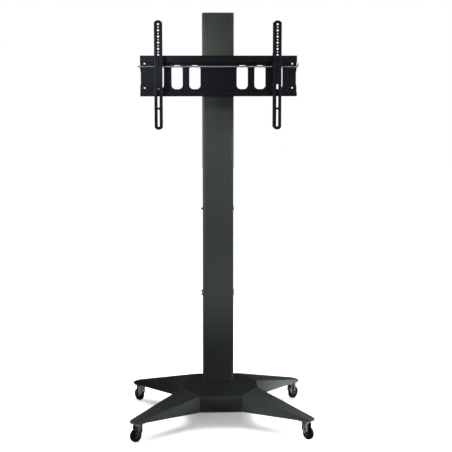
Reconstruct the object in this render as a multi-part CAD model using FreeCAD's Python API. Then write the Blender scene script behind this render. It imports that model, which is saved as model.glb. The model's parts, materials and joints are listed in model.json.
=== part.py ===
import FreeCAD, Part
import math
import os

# Monitor floor stand: a folded steel column on a low base with four castors, and a screen mount
# that slides on the column.  Millimetres, X to the right, Y to the rear, Z up.  The origin lies on
# the floor under the middle of the base, and the screen faces -Y.

# General
overrun = 2.0
running_gap = 0.05
sliding_gap = 0.3

# Base hub
hub_height = 151.0
hub_front_half = 90.3
hub_reach = 184.0
hub_side = 163.0
hub_side_half = 53.3
hub_skirt = 69.0
hub_sheet = 3.0
hub_bend = 4.0
apron_gap = 2.4
hub_plate_bottom = 100.0
hub_plate_thick = 6.0
hub_cutout_gap = 1.0

# Legs
leg_angle = 40.5
leg_reach = 482.0
leg_seam = 0.7
leg_sheet = 3.0
leg_bend = 3.5
leg_side_margin = 30.0
tip_width = 46.0
tip_corner = 20.0
tip_height = 86.5
tongue_thick = 6.0
tongue_width = 90.0
tongue_inside_hub = 30.0
tongue_inside_leg = 60.0
pad_thick = 3.0
pad_length = 66.0
leg_bolt_radius = 4.0
leg_bolt_spacing = 56.0
leg_bolt_inset = 18.0
leg_bolt_head_flats = 13.0
leg_bolt_head = 5.5
leg_nut_height = 6.4
leg_bolt_end = 2.0

# Castors
castor_height = 79.0
castor_pivot_inset = 35.5
castor_trail = 14.6
castor_rest_angles = {"front_left": 41.0, "front_right": 52.0, "rear_left": 49.0, "rear_right": 42.0}
castor_plate_length = 52.0
castor_plate_width = 44.0
castor_plate_corner = 8.0
castor_plate_thick = 3.0
castor_bolts_along = 36.0
castor_bolts_across = 30.0
castor_bolt_radius = 3.0
castor_bolt_flats = 10.0
castor_bolt_head = 4.0
castor_bolt_end = 0.5
cup_radius = 20.0
cup_wall = 2.0
cup_depth = 5.0
ball_radius = 2.0
ball_circle_radius = 15.0
ball_count = 16
ball_seat_gap = 0.05
kingpin_radius = 4.0
kingpin_head_radius = 7.0
kingpin_head = 3.5
kingpin_top_gap = 0.1
crown_thick = 2.5
fork_width = 20.0
fork_sheet = 2.0
fork_end_radius = 7.0
fork_back_reach = 18.5
fork_back_height = 47.0
fork_waist_reach = 5.0
fork_waist_height = 27.0
fork_back_corner = 8.0
fork_web_end = 46.0
axle_radius = 3.0
axle_flats = 10.0
axle_head = 3.0
wheel_radius = 27.0
wheel_width = 15.0
wheel_crown = 3.5
wheel_rim_radius = 19.5
wheel_rim_width = 13.0
wheel_boss_radius = 6.5
wheel_recess = 3.0
wheel_recess_inner = 8.0
wheel_recess_outer = 16.5

# Column
total_height = 1722.0
column_width = 131.0
column_depth = 80.0
column_front = 64.0
column_wall = 3.0
column_corner = 14.0
cap_thick = 3.0
cap_plug_depth = 14.0
cap_plug_wall = 2.0
foot_thick = 12.0
foot_bolt_radius = 5.0
foot_bolt_flats = 17.0
foot_bolt_head = 6.4
foot_bolt_spacing_x = 84.0
foot_bolt_spacing_y = 44.0
foot_bolt_end = 2.0
stiffener_thick = 3.0
stiffener_depth = 50.0
stiffener_hole_radius = 16.0
stiffener_height_shares = (0.244, 0.43, 0.616, 0.755, 0.929)
cover_sheet = 1.5
cover_flange = 20.0
cover_side_gap = 0.2
cover_joint_height = 526.0
cover_joint_gap = 1.0
cover_screw_heights = (893.0, 532.4, 519.2)
cover_screw_inset = 10.0
cover_screw_radius = 2.5
cover_screw_flats = 9.0
cover_screw_head = 4.4
cover_washer_radius = 5.4
cover_washer_thick = 1.4
cover_nut_height = 4.7
accessory_hole_x = 14.6
accessory_holes_below_top = (365.0, 489.0)
accessory_thread_radius = 3.0
accessory_nut_flats = 10.0
accessory_nut_height = 5.0

# Screen carriage
carriage_below_top = 261.0
sleeve_height = 150.0
sleeve_wall = 3.0
sleeve_gap = 1.2
glide_thick = 1.0
glide_side_width = 50.0
glide_front_width = 80.0
glide_height = 24.0
knob_spacing = 80.0
knob_boss_radius = 9.0
knob_boss_length = 10.0
knob_stud_radius = 4.0
knob_neck = 3.0
knob_radius = 19.0
knob_length = 20.0
knob_lobes = 6
knob_lobe_radius = 7.0
knob_lobe_circle_radius = 23.0
knob_edge = 2.0
rail_tube_height = 30.0
rail_tube_wall = 2.5
rail_tube_spacing = 62.0
plate_screw_radius = 4.0
plate_screw_head_radius = 7.0
plate_screw_head = 2.4
plate_screw_length = 12.0
plate_screw_spacing = 90.0

# Wall plate, a folded sheet with a forward strip along its top and its bottom
plate_half_width = 325.7
plate_below_centre = 84.0
plate_height = 168.0
plate_sheet = 2.5
strip_front = 19.0
web_front = 34.0
top_strip_height = 26.5
bottom_strip_height = 18.0
plate_bend = 1.5
web_end_cut = 2.6
web_end_cut_low_margin = 38.0
web_end_cut_high_margin = 56.0
web_end_cut_taper = 16.0
slot_widths = (46.0, 46.0, 38.6)
slot_low_margin = 29.7
slot_high_margin = 40.0
slot_corner = 17.0
slot_centre_shares = (0.3027, 0.5296, 0.7587)
fixing_hole_radius = 3.5
fixing_hole_end_margin = 18.4
fixing_hole_below_top = 33.5
fixing_hole_spacing = 100.0

# Screen arms
arm_left_share = -0.7672
arm_right_share = 0.7409
arm_face = -11.0
arm_width = 34.5
arm_sheet = 2.0
arm_bend = 3.0
arm_rise = 143.0
arm_length = 447.4
arm_end_radius = 19.5
hole_pitch = 12.5
hole_count = 14
first_hole_below_top = 16.0
large_hole_radius = 4.25
small_hole_radius = 2.75
arm_slot_width = 8.0
upper_slot_below_top = 260.0
slot_bridge = 7.0
upper_slot_length = 97.0
lower_slot_length = 71.0
hook_back = 31.0
hook_rise = 11.0
hook_tail_gap = 5.5
lobe_height = 23.0
spacer_height = 22.0
spacer_left_below_top = 268.0
spacer_right_below_top = 226.0
spacer_web_gap = 2.5

# Lock bar
bar_radius = 3.0
bar_below_plate_top = 45.8
bar_depth = 23.5
bar_left_overhang = 9.0
bar_right_overhang = 8.1
bar_hook_radius = 6.0
bar_hook_rise = 8.0

# Sizes that follow from those above
hub_bottom = hub_height - hub_skirt
hub_plate_top = hub_plate_bottom + hub_plate_thick
column_half = column_width / 2
column_back = column_front + column_depth
column_top = total_height - cap_thick
tip_bottom = castor_height
carriage_centre = total_height - carriage_below_top
plate_bottom = carriage_centre - plate_below_centre
plate_top = plate_bottom + plate_height
arm_top = plate_top + arm_rise
arm_left_x = arm_left_share * plate_half_width
arm_right_x = arm_right_share * plate_half_width
bar_height = plate_top - bar_below_plate_top
sides = (-1, 1)
hexagon = 6
vertical = FreeCAD.Vector(0, 0, 1)


def vector(x, y, z):
    return FreeCAD.Vector(x, y, z)


def block(x0, x1, y0, y1, z0, z1):
    """Box between two opposite corners."""
    return Part.makeBox(x1 - x0, y1 - y0, z1 - z0, vector(x0, y0, z0))


def prism(points, z0, z1):
    """Upright prism on a plan outline of (x, y) points."""
    wire = Part.makePolygon([vector(x, y, z0) for x, y in points + points[:1]])
    return Part.Face(wire).extrude(vector(0, 0, z1 - z0))


def prism_along_x(points, x0, x1):
    """Prism along X on an outline of (y, z) points."""
    wire = Part.makePolygon([vector(x0, y, z) for y, z in points + points[:1]])
    return Part.Face(wire).extrude(vector(x1 - x0, 0, 0))


def prism_along_y(points, y0, y1):
    """Prism along Y on an outline of (x, z) points."""
    wire = Part.makePolygon([vector(x, y0, z) for x, z in points + points[:1]])
    return Part.Face(wire).extrude(vector(0, y1 - y0, 0))


def rod(start, direction, radius, length):
    """Round rod from a start point along a direction."""
    return Part.makeCylinder(radius, length, start, direction)


def hex_rod(start, direction, flats, length):
    """Hexagonal rod, for bolt heads and nuts, given by its width over the flats."""
    corner = flats / math.sqrt(3)
    across = vertical if abs(direction.z) < 1 else vector(1, 0, 0)
    other = direction.cross(across)
    points = []
    for step in range(hexagon + 1):
        turn = 2 * math.pi * step / hexagon
        points.append(start + across * (corner * math.cos(turn)) + other * (corner * math.sin(turn)))
    return Part.Face(Part.makePolygon(points)).extrude(direction * length)


def bolt(start, direction, radius, length, flats, head):
    """Hexagon bolt: its head lies behind the start point and its shank ahead of it."""
    shank = rod(start, direction, radius, length)
    return hex_rod(start - direction * head, direction, flats, head).fuse(shank).removeSplitter()


def nut(start, direction, radius, flats, height):
    body = hex_rod(start, direction, flats, height)
    return body.cut(rod(start - direction * overrun, direction, radius, height + 2 * overrun))


def joined(shapes):
    """One solid from several that touch or overlap."""
    whole = shapes[0]
    for shape in shapes[1:]:
        whole = whole.fuse(shape)
    return whole.removeSplitter()


def without(shape, cutters):
    for cutter in cutters:
        shape = shape.cut(cutter)
    return shape


def group(shapes):
    return Part.makeCompound(shapes)


def mirrored(shape, side_x, side_y):
    """Copy for another quarter of the base."""
    if side_x < 0:
        shape = shape.mirror(vector(0, 0, 0), vector(1, 0, 0))
    if side_y > 0:
        shape = shape.mirror(vector(0, 0, 0), vector(0, 1, 0))
    return shape


def moved_sides(points, insets):
    """Outline whose sides, one from each point to the next, are moved inwards by their own insets.

    The points go round anticlockwise, and each new corner is where two moved sides meet.
    """
    lines = []
    for (x0, y0), (x1, y1), inset in zip(points, points[1:] + points[:1], insets):
        length = math.hypot(x1 - x0, y1 - y0)
        nx = (y0 - y1) / length
        ny = (x1 - x0) / length
        lines.append((nx, ny, nx * x0 + ny * y0 + inset))
    corners = []
    for (a, b, c), (d, e, f) in zip(lines[-1:] + lines[:-1], lines):
        area = a * e - b * d
        corners.append(((c * e - b * f) / area, (a * f - c * d) / area))
    return corners


def upright_edges(shape, places, reach):
    """Upright edges of a shape that stand within a reach of given (x, y) places."""
    found = []
    for edge in shape.Edges:
        box = edge.BoundBox
        if box.XLength + box.YLength > running_gap:
            continue
        middle = edge.CenterOfMass
        for x, y in places:
            if math.hypot(middle.x - x, middle.y - y) < reach:
                found.append(edge)
                break
    return found


def rounded_prism(points, z0, z1, corners, radius):
    """Upright prism whose edges at some of its corners are rounded."""
    shape = prism(points, z0, z1)
    return shape.makeFillet(radius, upright_edges(shape, corners, radius / 2))


def slot_prism(x, z0, z1, width, y0, y1):
    """Upright slot with round ends, cut along Y."""
    radius = width / 2
    along = vector(0, 1, 0)
    middle = block(x - radius, x + radius, y0, y1, z0 + radius, z1 - radius)
    low = rod(vector(x, y0, z0 + radius), along, radius, y1 - y0)
    high = rod(vector(x, y0, z1 - radius), along, radius, y1 - y0)
    return joined([middle, low, high])


# Hub


def hub_outline():
    """The hub's eight plan corners, anticlockwise from the front left one."""
    return [(-hub_front_half, -hub_reach), (hub_front_half, -hub_reach),
            (hub_side, -hub_side_half), (hub_side, hub_side_half),
            (hub_front_half, hub_reach), (-hub_front_half, hub_reach),
            (-hub_side, hub_side_half), (-hub_side, -hub_side_half)]


def hub_insets(apron, leg_side):
    """Insets for the hub's sides, which are aprons and leg sides by turns."""
    return [apron, leg_side] * len(sides) * 2


def column_outline(gap):
    """Plan outline of the column, larger by a gap."""
    half = column_half + gap
    front = column_front - gap
    back = column_back + gap
    return [(-half, front), (half, front), (half, back), (-half, back)]


def column_block(gap, z0, z1):
    """The column's outer form with its rounded front edges, larger by a gap."""
    outline = column_outline(gap)
    return rounded_prism(outline, z0, z1, outline[:2], column_corner + gap)


def hub_cover():
    """Folded cover: a flat top with four aprons, open towards the legs and below."""
    outline = hub_outline()
    shape = prism(outline, hub_bottom, hub_height)
    apron_top_edges = []
    for edge in shape.Edges:
        middle = edge.CenterOfMass
        on_apron = abs(abs(middle.y) - hub_reach) < hub_sheet or abs(abs(middle.x) - hub_side) < hub_sheet
        if on_apron and abs(middle.z - hub_height) < hub_sheet and edge.BoundBox.ZLength < hub_sheet:
            apron_top_edges.append(edge)
    shape = shape.makeFillet(hub_bend, apron_top_edges)
    inside = moved_sides(outline, hub_insets(hub_sheet, -leg_side_margin))
    cavity = prism(inside, hub_bottom - overrun, hub_height - hub_sheet)
    cuts = [cavity, column_block(hub_cutout_gap, hub_height - 2 * hub_sheet, hub_height + overrun)]
    end_gap = hub_bend + hub_sheet
    for x, y in outline:
        cuts.append(block(x - apron_gap, x + apron_gap, y - apron_gap, y + apron_gap,
                          hub_bottom - overrun, hub_height - end_gap))
    return without(shape, cuts)


def hub_plate():
    """Thick plate welded between the aprons, drilled for the column's and the legs' bolts."""
    outline = moved_sides(hub_outline(), hub_insets(hub_sheet, hub_sheet))
    shape = prism(outline, hub_plate_bottom, hub_plate_top)
    holes = []
    for x, y in foot_bolt_places() + all_leg_bolt_places():
        radius = foot_bolt_radius if (x, y) in foot_bolt_places() else leg_bolt_radius
        start = vector(x, y, hub_plate_bottom - overrun)
        holes.append(rod(start, vertical, radius, hub_plate_thick + 2 * overrun))
    return without(shape, holes)


# Legs, worked out for the front right one


def leg_axis():
    """Unit direction from the middle of the base to the leg's tip."""
    turn = math.radians(leg_angle)
    return math.cos(turn), -math.sin(turn)


def fold():
    """The line where the leg leaves the hub: its start, its direction, its outward normal and its length."""
    x0, y0 = hub_front_half, -hub_reach
    length = math.hypot(hub_side - x0, -hub_side_half - y0)
    tx = (hub_side - x0) / length
    ty = (-hub_side_half - y0) / length
    return (x0, y0), (tx, ty), (ty, -tx), length


def fold_point(out, along):
    """Plan point at a distance out from the fold line and a distance along it."""
    (x0, y0), (tx, ty), (nx, ny), length = fold()
    return x0 + nx * out + tx * along, y0 + ny * out + ty * along


def tip_corners():
    """The leg's two plan corners at its tip, the front one first."""
    ex, ey = leg_axis()
    half = tip_width / 2
    x, y = leg_reach * ex, leg_reach * ey
    return (x + ey * half, y - ex * half), (x - ey * half, y + ex * half)


def leg_outline():
    """Plan outline of the leg, anticlockwise from the fold line's front end."""
    front, inner = tip_corners()
    length = fold()[-1]
    return [fold_point(0, 0), front, inner, fold_point(0, length)]


def distance_out(x, y):
    """How far a plan point lies out from the fold line."""
    (x0, y0), along, (nx, ny), length = fold()
    return (x - x0) * nx + (y - y0) * ny


def slope_height(out, start, end):
    """Height of a face that falls evenly from the fold line to the leg's tip."""
    ex, ey = leg_axis()
    reach = distance_out(leg_reach * ex, leg_reach * ey)
    return start + (end - start) * out / reach


def leg_wedge(drop, deepen):
    """Space between the leg's falling underside and its falling top, lowered by a drop."""
    far = leg_reach
    near = -leg_side_margin
    length = fold()[-1]
    corners = []
    for out, start, end, shift in ((near, hub_bottom, tip_bottom, -deepen),
                                   (far, hub_bottom, tip_bottom, -deepen),
                                   (far, hub_height, tip_height, -drop),
                                   (near, hub_height, tip_height, -drop)):
        x, y = fold_point(out, -leg_side_margin)
        corners.append(vector(x, y, slope_height(out, start, end) + shift))
    face = Part.Face(Part.makePolygon(corners + corners[:1]))
    along = fold()[1]
    width = length + 2 * leg_side_margin
    return face.extrude(vector(along[0] * width, along[1] * width, 0))


def leg_top_edges(shape):
    """Edges of the leg's outer form that border its falling top, but not the one at the hub."""
    found = []
    for edge in shape.Edges:
        on_top = True
        for vertex in edge.Vertexes:
            point = vertex.Point
            height = slope_height(distance_out(point.x, point.y), hub_height, tip_height)
            on_top = on_top and abs(point.z - height) < running_gap
        middle = edge.CenterOfMass
        if on_top and distance_out(middle.x, middle.y) > leg_seam + leg_sheet:
            found.append(edge)
    return found


def leg_form(insets, corner, drop, deepen):
    """Tapered leg form with a rounded tip; its outline's sides are moved in by the insets."""
    outline = moved_sides(leg_outline(), insets)
    tips = outline[1:3]
    column = rounded_prism(outline, 0, hub_height + overrun, tips, corner)
    return column.common(leg_wedge(drop, deepen))


def leg_bolt_places():
    """Plan places of the two bolts through the tongue of the front right leg."""
    middle = fold()[-1] / 2
    half = leg_bolt_spacing / 2
    return [fold_point(-leg_bolt_inset, middle - half), fold_point(-leg_bolt_inset, middle + half)]


def all_leg_bolt_places():
    return [(side_x * x, -side_y * y) for side_x in sides for side_y in sides for x, y in leg_bolt_places()]


def tongue():
    """Flat bar through the leg's bulkhead, bolted on the hub plate."""
    middle = fold()[-1] / 2
    half = tongue_width / 2
    points = [fold_point(-tongue_inside_hub, middle - half), fold_point(tongue_inside_leg, middle - half),
              fold_point(tongue_inside_leg, middle + half), fold_point(-tongue_inside_hub, middle + half)]
    return prism(points, hub_plate_top, hub_plate_top + tongue_thick)


def castor_pivot():
    """Plan place of the front right castor's swivel axis."""
    ex, ey = leg_axis()
    reach = leg_reach - castor_pivot_inset
    return reach * ex, reach * ey


def castor_bolt_places():
    """Plan places of the four bolts of the front right castor plate."""
    x, y = castor_pivot()
    ex, ey = leg_axis()
    places = []
    for along in (-castor_bolts_along / 2, castor_bolts_along / 2):
        for across in (-castor_bolts_across / 2, castor_bolts_across / 2):
            places.append((x + ex * along - ey * across, y + ey * along + ex * across))
    return places


def castor_pad():
    """Plate inside the leg's tip that the castor screws into."""
    half = leg_sheet / 2
    outline = moved_sides(leg_outline(), (half, half, half, half))
    column = rounded_prism(outline, tip_bottom, tip_bottom + pad_thick, outline[1:3], tip_corner - half)
    ex, ey = leg_axis()
    start = leg_reach - pad_length
    wide = hub_side
    end = 2 * leg_reach
    points = [(start * ex - ey * wide, start * ey + ex * wide),
              (start * ex + ey * wide, start * ey - ex * wide),
              (end * ex + ey * wide, end * ey - ex * wide),
              (end * ex - ey * wide, end * ey + ex * wide)]
    return column.common(prism(points, 0, hub_height))


def leg_front_right():
    """Folded leg with its bulkhead, tongue and castor pad, all welded."""
    outer = leg_form((0, 0, 0, leg_seam), tip_corner, 0, 0)
    outer = outer.makeFillet(leg_bend, leg_top_edges(outer))
    sheet = leg_sheet
    inner = leg_form((sheet, sheet, sheet, leg_seam + sheet), tip_corner - sheet, sheet, overrun)
    shape = joined([outer.cut(inner), tongue(), castor_pad()])
    holes = []
    for x, y in leg_bolt_places():
        start = vector(x, y, hub_plate_top - overrun)
        holes.append(rod(start, vertical, leg_bolt_radius, tongue_thick + 2 * overrun))
    for x, y in castor_bolt_places():
        start = vector(x, y, tip_bottom - overrun)
        holes.append(rod(start, vertical, castor_bolt_radius, pad_thick + 2 * overrun))
    return without(shape, holes)


def leg_bolts():
    length = hub_plate_thick + tongue_thick + leg_nut_height + leg_bolt_end
    shapes = []
    for x, y in all_leg_bolt_places():
        start = vector(x, y, hub_plate_bottom)
        shapes.append(bolt(start, vertical, leg_bolt_radius, length, leg_bolt_head_flats, leg_bolt_head))
    return group(shapes)


def leg_nuts():
    height = hub_plate_top + tongue_thick
    shapes = []
    for x, y in all_leg_bolt_places():
        start = vector(x, y, height)
        shapes.append(nut(start, vertical, leg_bolt_radius, leg_bolt_head_flats, leg_nut_height))
    return group(shapes)


# Castors


def at_pivot(shape, side_x, side_y, turn):
    """Shape from the castor's own frame, turned about its swivel axis and put under a leg."""
    x, y = castor_pivot()
    placed = shape.copy()
    placed.rotate(vector(0, 0, 0), vertical, turn)
    placed.translate(vector(side_x * x, -side_y * y, 0))
    return placed


def outward_turn(angle, side_x, side_y):
    """Direction out to a corner of the base, in degrees from +X; the angle is taken from the X axis."""
    turn = angle if side_x > 0 else math.degrees(math.pi) - angle
    return side_y * turn


def castor_plate():
    """Top plate with the cup that keeps the swivel balls."""
    half_length = castor_plate_length / 2
    half_width = castor_plate_width / 2
    bottom = castor_height - castor_plate_thick
    corners = [(-half_length, -half_width), (half_length, -half_width),
               (half_length, half_width), (-half_length, half_width)]
    plate = rounded_prism(corners, bottom, castor_height, corners, castor_plate_corner)
    start = vector(0, 0, bottom - cup_depth)
    cup = rod(start, vertical, cup_radius, cup_depth)
    cup = cup.cut(rod(start, vertical, cup_radius - cup_wall, cup_depth))
    holes = [rod(vector(0, 0, 0), vertical, kingpin_radius, castor_height + overrun)]
    for along in (-castor_bolts_along / 2, castor_bolts_along / 2):
        for across in (-castor_bolts_across / 2, castor_bolts_across / 2):
            holes.append(rod(vector(along, across, 0), vertical, castor_bolt_radius, castor_height + overrun))
            head_low = vector(along, across, bottom - castor_bolt_head - overrun)
            clear = castor_bolt_flats / math.sqrt(3) + sliding_gap
            cup = cup.cut(rod(head_low, vertical, clear, castor_bolt_head + overrun))
    return without(joined([plate, cup]), holes)


def castor_bolt_set():
    """The four bolts of one castor, in the castor plate's own frame."""
    start_height = castor_height - castor_plate_thick
    length = castor_plate_thick + pad_thick + castor_bolt_end
    shapes = []
    for along in (-castor_bolts_along / 2, castor_bolts_along / 2):
        for across in (-castor_bolts_across / 2, castor_bolts_across / 2):
            start = vector(along, across, start_height)
            shapes.append(bolt(start, vertical, castor_bolt_radius, length,
                               castor_bolt_flats, castor_bolt_head))
    return group(shapes)


def crown_top():
    return castor_height - castor_plate_thick - 2 * ball_radius - ball_seat_gap - sliding_gap


def castor_ball_set():
    height = castor_height - castor_plate_thick - ball_seat_gap - ball_radius
    shapes = []
    for step in range(ball_count):
        turn = 2 * math.pi * step / ball_count
        place = vector(ball_circle_radius * math.cos(turn), ball_circle_radius * math.sin(turn), height)
        shapes.append(Part.makeSphere(ball_radius, place))
    return group(shapes)


def kingpin():
    """Rivet through the plate and the fork's crown."""
    head_top = crown_top() - crown_thick - sliding_gap
    shank_length = castor_height - kingpin_top_gap - head_top
    head = rod(vector(0, 0, head_top - kingpin_head), vertical, kingpin_head_radius, kingpin_head)
    return joined([head, rod(vector(0, 0, head_top), vertical, kingpin_radius, shank_length)])


def castor_fork():
    """Pressed fork: a round crown on a top sheet, two side plates and a rounded web at their back."""
    half = fork_width / 2
    inner_half = half - fork_sheet
    top = castor_height - castor_plate_thick - cup_depth - sliding_gap
    crown_bottom = crown_top() - crown_thick
    front = castor_trail + fork_end_radius
    outline = [(-fork_back_reach, top), (-fork_back_reach, fork_back_height),
               (-fork_waist_reach, fork_waist_height), (castor_trail, wheel_radius - fork_end_radius),
               (front, wheel_radius), (front, top)]
    sheet = prism_along_y(outline, -half, half)
    back_edges = upright_edges(sheet, [(-fork_back_reach, -half), (-fork_back_reach, half)], fork_sheet)
    sheet = sheet.makeFillet(fork_back_corner, back_edges)
    end = rod(vector(castor_trail, -half, wheel_radius), vector(0, 1, 0), fork_end_radius, fork_width)
    web = fork_sheet - fork_back_reach
    inside = block(web, front + overrun, -inner_half, inner_half, 0, crown_bottom)
    inner_edges = upright_edges(inside, [(web, -inner_half), (web, inner_half)], fork_sheet)
    inside = inside.makeFillet(fork_back_corner - fork_sheet, inner_edges)
    low = block(-wheel_radius, 2 * wheel_radius, -inner_half, inner_half, 0, fork_web_end)
    crown_radius = cup_radius - cup_wall - sliding_gap
    crown = rod(vector(0, 0, crown_bottom), vertical, crown_radius, crown_thick)
    legs = without(joined([sheet, end]), [inside, low])
    bore = rod(vector(0, 0, 0), vertical, kingpin_radius + running_gap, castor_height)
    axle_start = vector(castor_trail, -fork_width, wheel_radius)
    axle_hole = rod(axle_start, vector(0, 1, 0), axle_radius, 2 * fork_width)
    return without(joined([legs, crown]), [bore, axle_hole])


def castor_axle():
    """Axle bolt with its nut, across the fork."""
    half = fork_width / 2
    along = vector(0, 1, 0)
    length = fork_width + axle_head
    near = vector(castor_trail, -half, wheel_radius)
    far = vector(castor_trail, half, wheel_radius)
    screw = bolt(near, along, axle_radius, length, axle_flats, axle_head)
    return group([screw, nut(far, along, axle_radius, axle_flats, axle_head)])


def castor_hub():
    """Wheel centre with a recess in each face and a boss between the fork's plates."""
    along = vector(0, 1, 0)
    half = wheel_rim_width / 2
    boss_half = fork_width / 2 - fork_sheet - sliding_gap
    centre = vector(castor_trail, 0, wheel_radius)
    rim = rod(centre - along * half, along, wheel_rim_radius, wheel_rim_width)
    for side in sides:
        start = centre + along * (half - wheel_recess if side > 0 else -half)
        recess = rod(start, along, wheel_recess_outer, wheel_recess)
        rim = rim.cut(recess.cut(rod(start, along, wheel_recess_inner, wheel_recess)))
    boss = rod(centre - along * boss_half, along, wheel_boss_radius, 2 * boss_half)
    bore = rod(centre - along * fork_width, along, axle_radius + running_gap, 2 * fork_width)
    return joined([rim, boss]).cut(bore)


def castor_tyre():
    """Ring with rounded shoulders."""
    along = vector(0, 1, 0)
    centre = vector(castor_trail, 0, wheel_radius)
    start = centre - along * (wheel_width / 2)
    ring = rod(start, along, wheel_radius, wheel_width)
    shoulders = [edge for edge in ring.Edges if len(edge.Vertexes) == 1]
    ring = ring.makeFillet(wheel_crown, shoulders)
    return ring.cut(rod(start, along, wheel_rim_radius, wheel_width))


# Column


def foot_bolt_places():
    middle = column_front + column_depth / 2
    return [(side_x * foot_bolt_spacing_x / 2, middle + side_y * foot_bolt_spacing_y / 2)
            for side_x in sides for side_y in sides]


def column_cavity(z0, z1, back):
    """Space inside the column's three walls, as far back as given."""
    half = column_half - column_wall
    front = column_front + column_wall
    outline = [(-half, front), (half, front), (half, back), (-half, back)]
    return rounded_prism(outline, z0, z1, outline[:2], column_corner - column_wall)


def column_foot():
    """Tapped plate welded inside the column's lower end."""
    back = column_back - cover_sheet - cover_side_gap
    shape = column_cavity(hub_plate_top, hub_plate_top + foot_thick, back)
    holes = [rod(vector(x, y, 0), vertical, foot_bolt_radius, total_height) for x, y in foot_bolt_places()]
    return without(shape, holes)


def column_foot_bolts():
    length = hub_plate_thick + foot_thick + foot_bolt_end
    return group([bolt(vector(x, y, hub_plate_bottom), vertical, foot_bolt_radius, length,
                       foot_bolt_flats, foot_bolt_head) for x, y in foot_bolt_places()])


def cover_screw_depth():
    return column_back - cover_screw_inset


def cover_screw_holes(radius):
    """Rods across the column at the side screws, for their holes."""
    start = -column_half - overrun
    return [rod(vector(start, cover_screw_depth(), z), vector(1, 0, 0), radius, column_width + 2 * overrun)
            for z in cover_screw_heights]


def column_profile():
    """Folded column: a front with two sides, open at the back."""
    outer = column_block(0, hub_plate_top, column_top)
    cuts = [column_cavity(hub_plate_top - overrun, column_top + overrun, column_back + overrun)]
    for below in accessory_holes_below_top:
        start = vector(accessory_hole_x, column_front - overrun, total_height - below)
        cuts.append(rod(start, vector(0, 1, 0), accessory_thread_radius, column_wall + 2 * overrun))
    return without(outer, cuts + cover_screw_holes(cover_screw_radius))


def column_stiffeners():
    """Plates welded across the column, each with a hole for cables."""
    back = column_front + column_wall + stiffener_depth
    middle = column_front + column_wall + stiffener_depth / 2
    shapes = []
    for share in stiffener_height_shares:
        z = share * total_height
        plate = column_cavity(z, z + stiffener_thick, back)
        shapes.append(plate.cut(rod(vector(0, middle, z), vertical, stiffener_hole_radius, stiffener_thick)))
    return group(shapes)


def rear_cover(z0, z1):
    """Pan that closes the back of the column, with a flange behind each side wall."""
    half = column_half - column_wall - cover_side_gap
    front = column_back - cover_flange
    pan = block(-half, half, front, column_back, z0, z1)
    inside = half - cover_sheet
    pan = pan.cut(block(-inside, inside, front - overrun, column_back - cover_sheet,
                        z0 - overrun, z1 + overrun))
    return without(pan, cover_screw_holes(cover_screw_radius))


def cover_parts():
    """Side screws with their washers, and the nuts behind the cover's flanges."""
    screws = []
    nuts = []
    nut_face = column_half - column_wall - cover_side_gap - cover_sheet
    reach = column_half + cover_washer_thick
    for z in cover_screw_heights:
        for side in sides:
            inwards = vector(-side, 0, 0)
            wall = vector(side * column_half, cover_screw_depth(), z)
            washer = rod(wall, vector(side, 0, 0), cover_washer_radius, cover_washer_thick)
            screws.append(washer.cut(rod(wall, vector(side, 0, 0), cover_screw_radius, cover_washer_thick)))
            start = vector(side * reach, cover_screw_depth(), z)
            length = reach - nut_face + cover_nut_height
            screws.append(bolt(start, inwards, cover_screw_radius, length,
                               cover_screw_flats, cover_screw_head))
            seat = vector(side * nut_face, cover_screw_depth(), z)
            nuts.append(nut(seat, inwards, cover_screw_radius, cover_screw_flats, cover_nut_height))
    return group(screws), group(nuts)


def column_cap():
    """Moulded cap with a plug wall that fits inside the column and its rear cover."""
    plate = column_block(0, column_top, total_height)
    edges = [edge for edge in plate.Edges if abs(edge.CenterOfMass.z - total_height) < running_gap]
    plate = plate.makeFillet(cap_thick / 3, edges)
    inset = column_wall + 2 * cover_side_gap + cover_sheet
    outline = column_outline(-inset)
    corner = column_corner - inset
    low = column_top - cap_plug_depth
    plug = rounded_prism(outline, low, column_top, outline[:2], corner)
    inner = column_outline(-inset - cap_plug_wall)
    return joined([plate, plug.cut(rounded_prism(inner, low, column_top, inner[:2], corner - cap_plug_wall))])


def accessory_nuts():
    start_depth = column_front + column_wall
    along = vector(0, 1, 0)
    seats = [vector(accessory_hole_x, start_depth, total_height - below)
             for below in accessory_holes_below_top]
    return group([nut(seat, along, accessory_thread_radius, accessory_nut_flats, accessory_nut_height)
                  for seat in seats])


# Screen carriage


def sleeve_half():
    return column_half + sleeve_gap + sleeve_wall


def sleeve_front():
    return column_front - sleeve_gap - sleeve_wall


def sleeve_back():
    return column_back + sleeve_gap + sleeve_wall


def knob_heights():
    return [carriage_centre - knob_spacing / 2, carriage_centre + knob_spacing / 2]


def carriage_sleeve():
    """Square sleeve round the column, with two tapped bosses at its back."""
    half = sleeve_half()
    z0 = carriage_centre - sleeve_height / 2
    z1 = carriage_centre + sleeve_height / 2
    outer = block(-half, half, sleeve_front(), sleeve_back(), z0, z1)
    inner = half - sleeve_wall
    cavity = block(-inner, inner, sleeve_front() + sleeve_wall, sleeve_back() - sleeve_wall,
                   z0 - overrun, z1 + overrun)
    along = vector(0, 1, 0)
    bosses = [rod(vector(0, sleeve_back(), z), along, knob_boss_radius, knob_boss_length)
              for z in knob_heights()]
    bores = []
    for z in knob_heights():
        start = vector(0, sleeve_back() - sleeve_wall - overrun, z)
        length = sleeve_wall + knob_boss_length + 2 * overrun
        bores.append(rod(start, along, knob_stud_radius + running_gap, length))
    return without(joined([outer.cut(cavity)] + bosses), bores)


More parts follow.
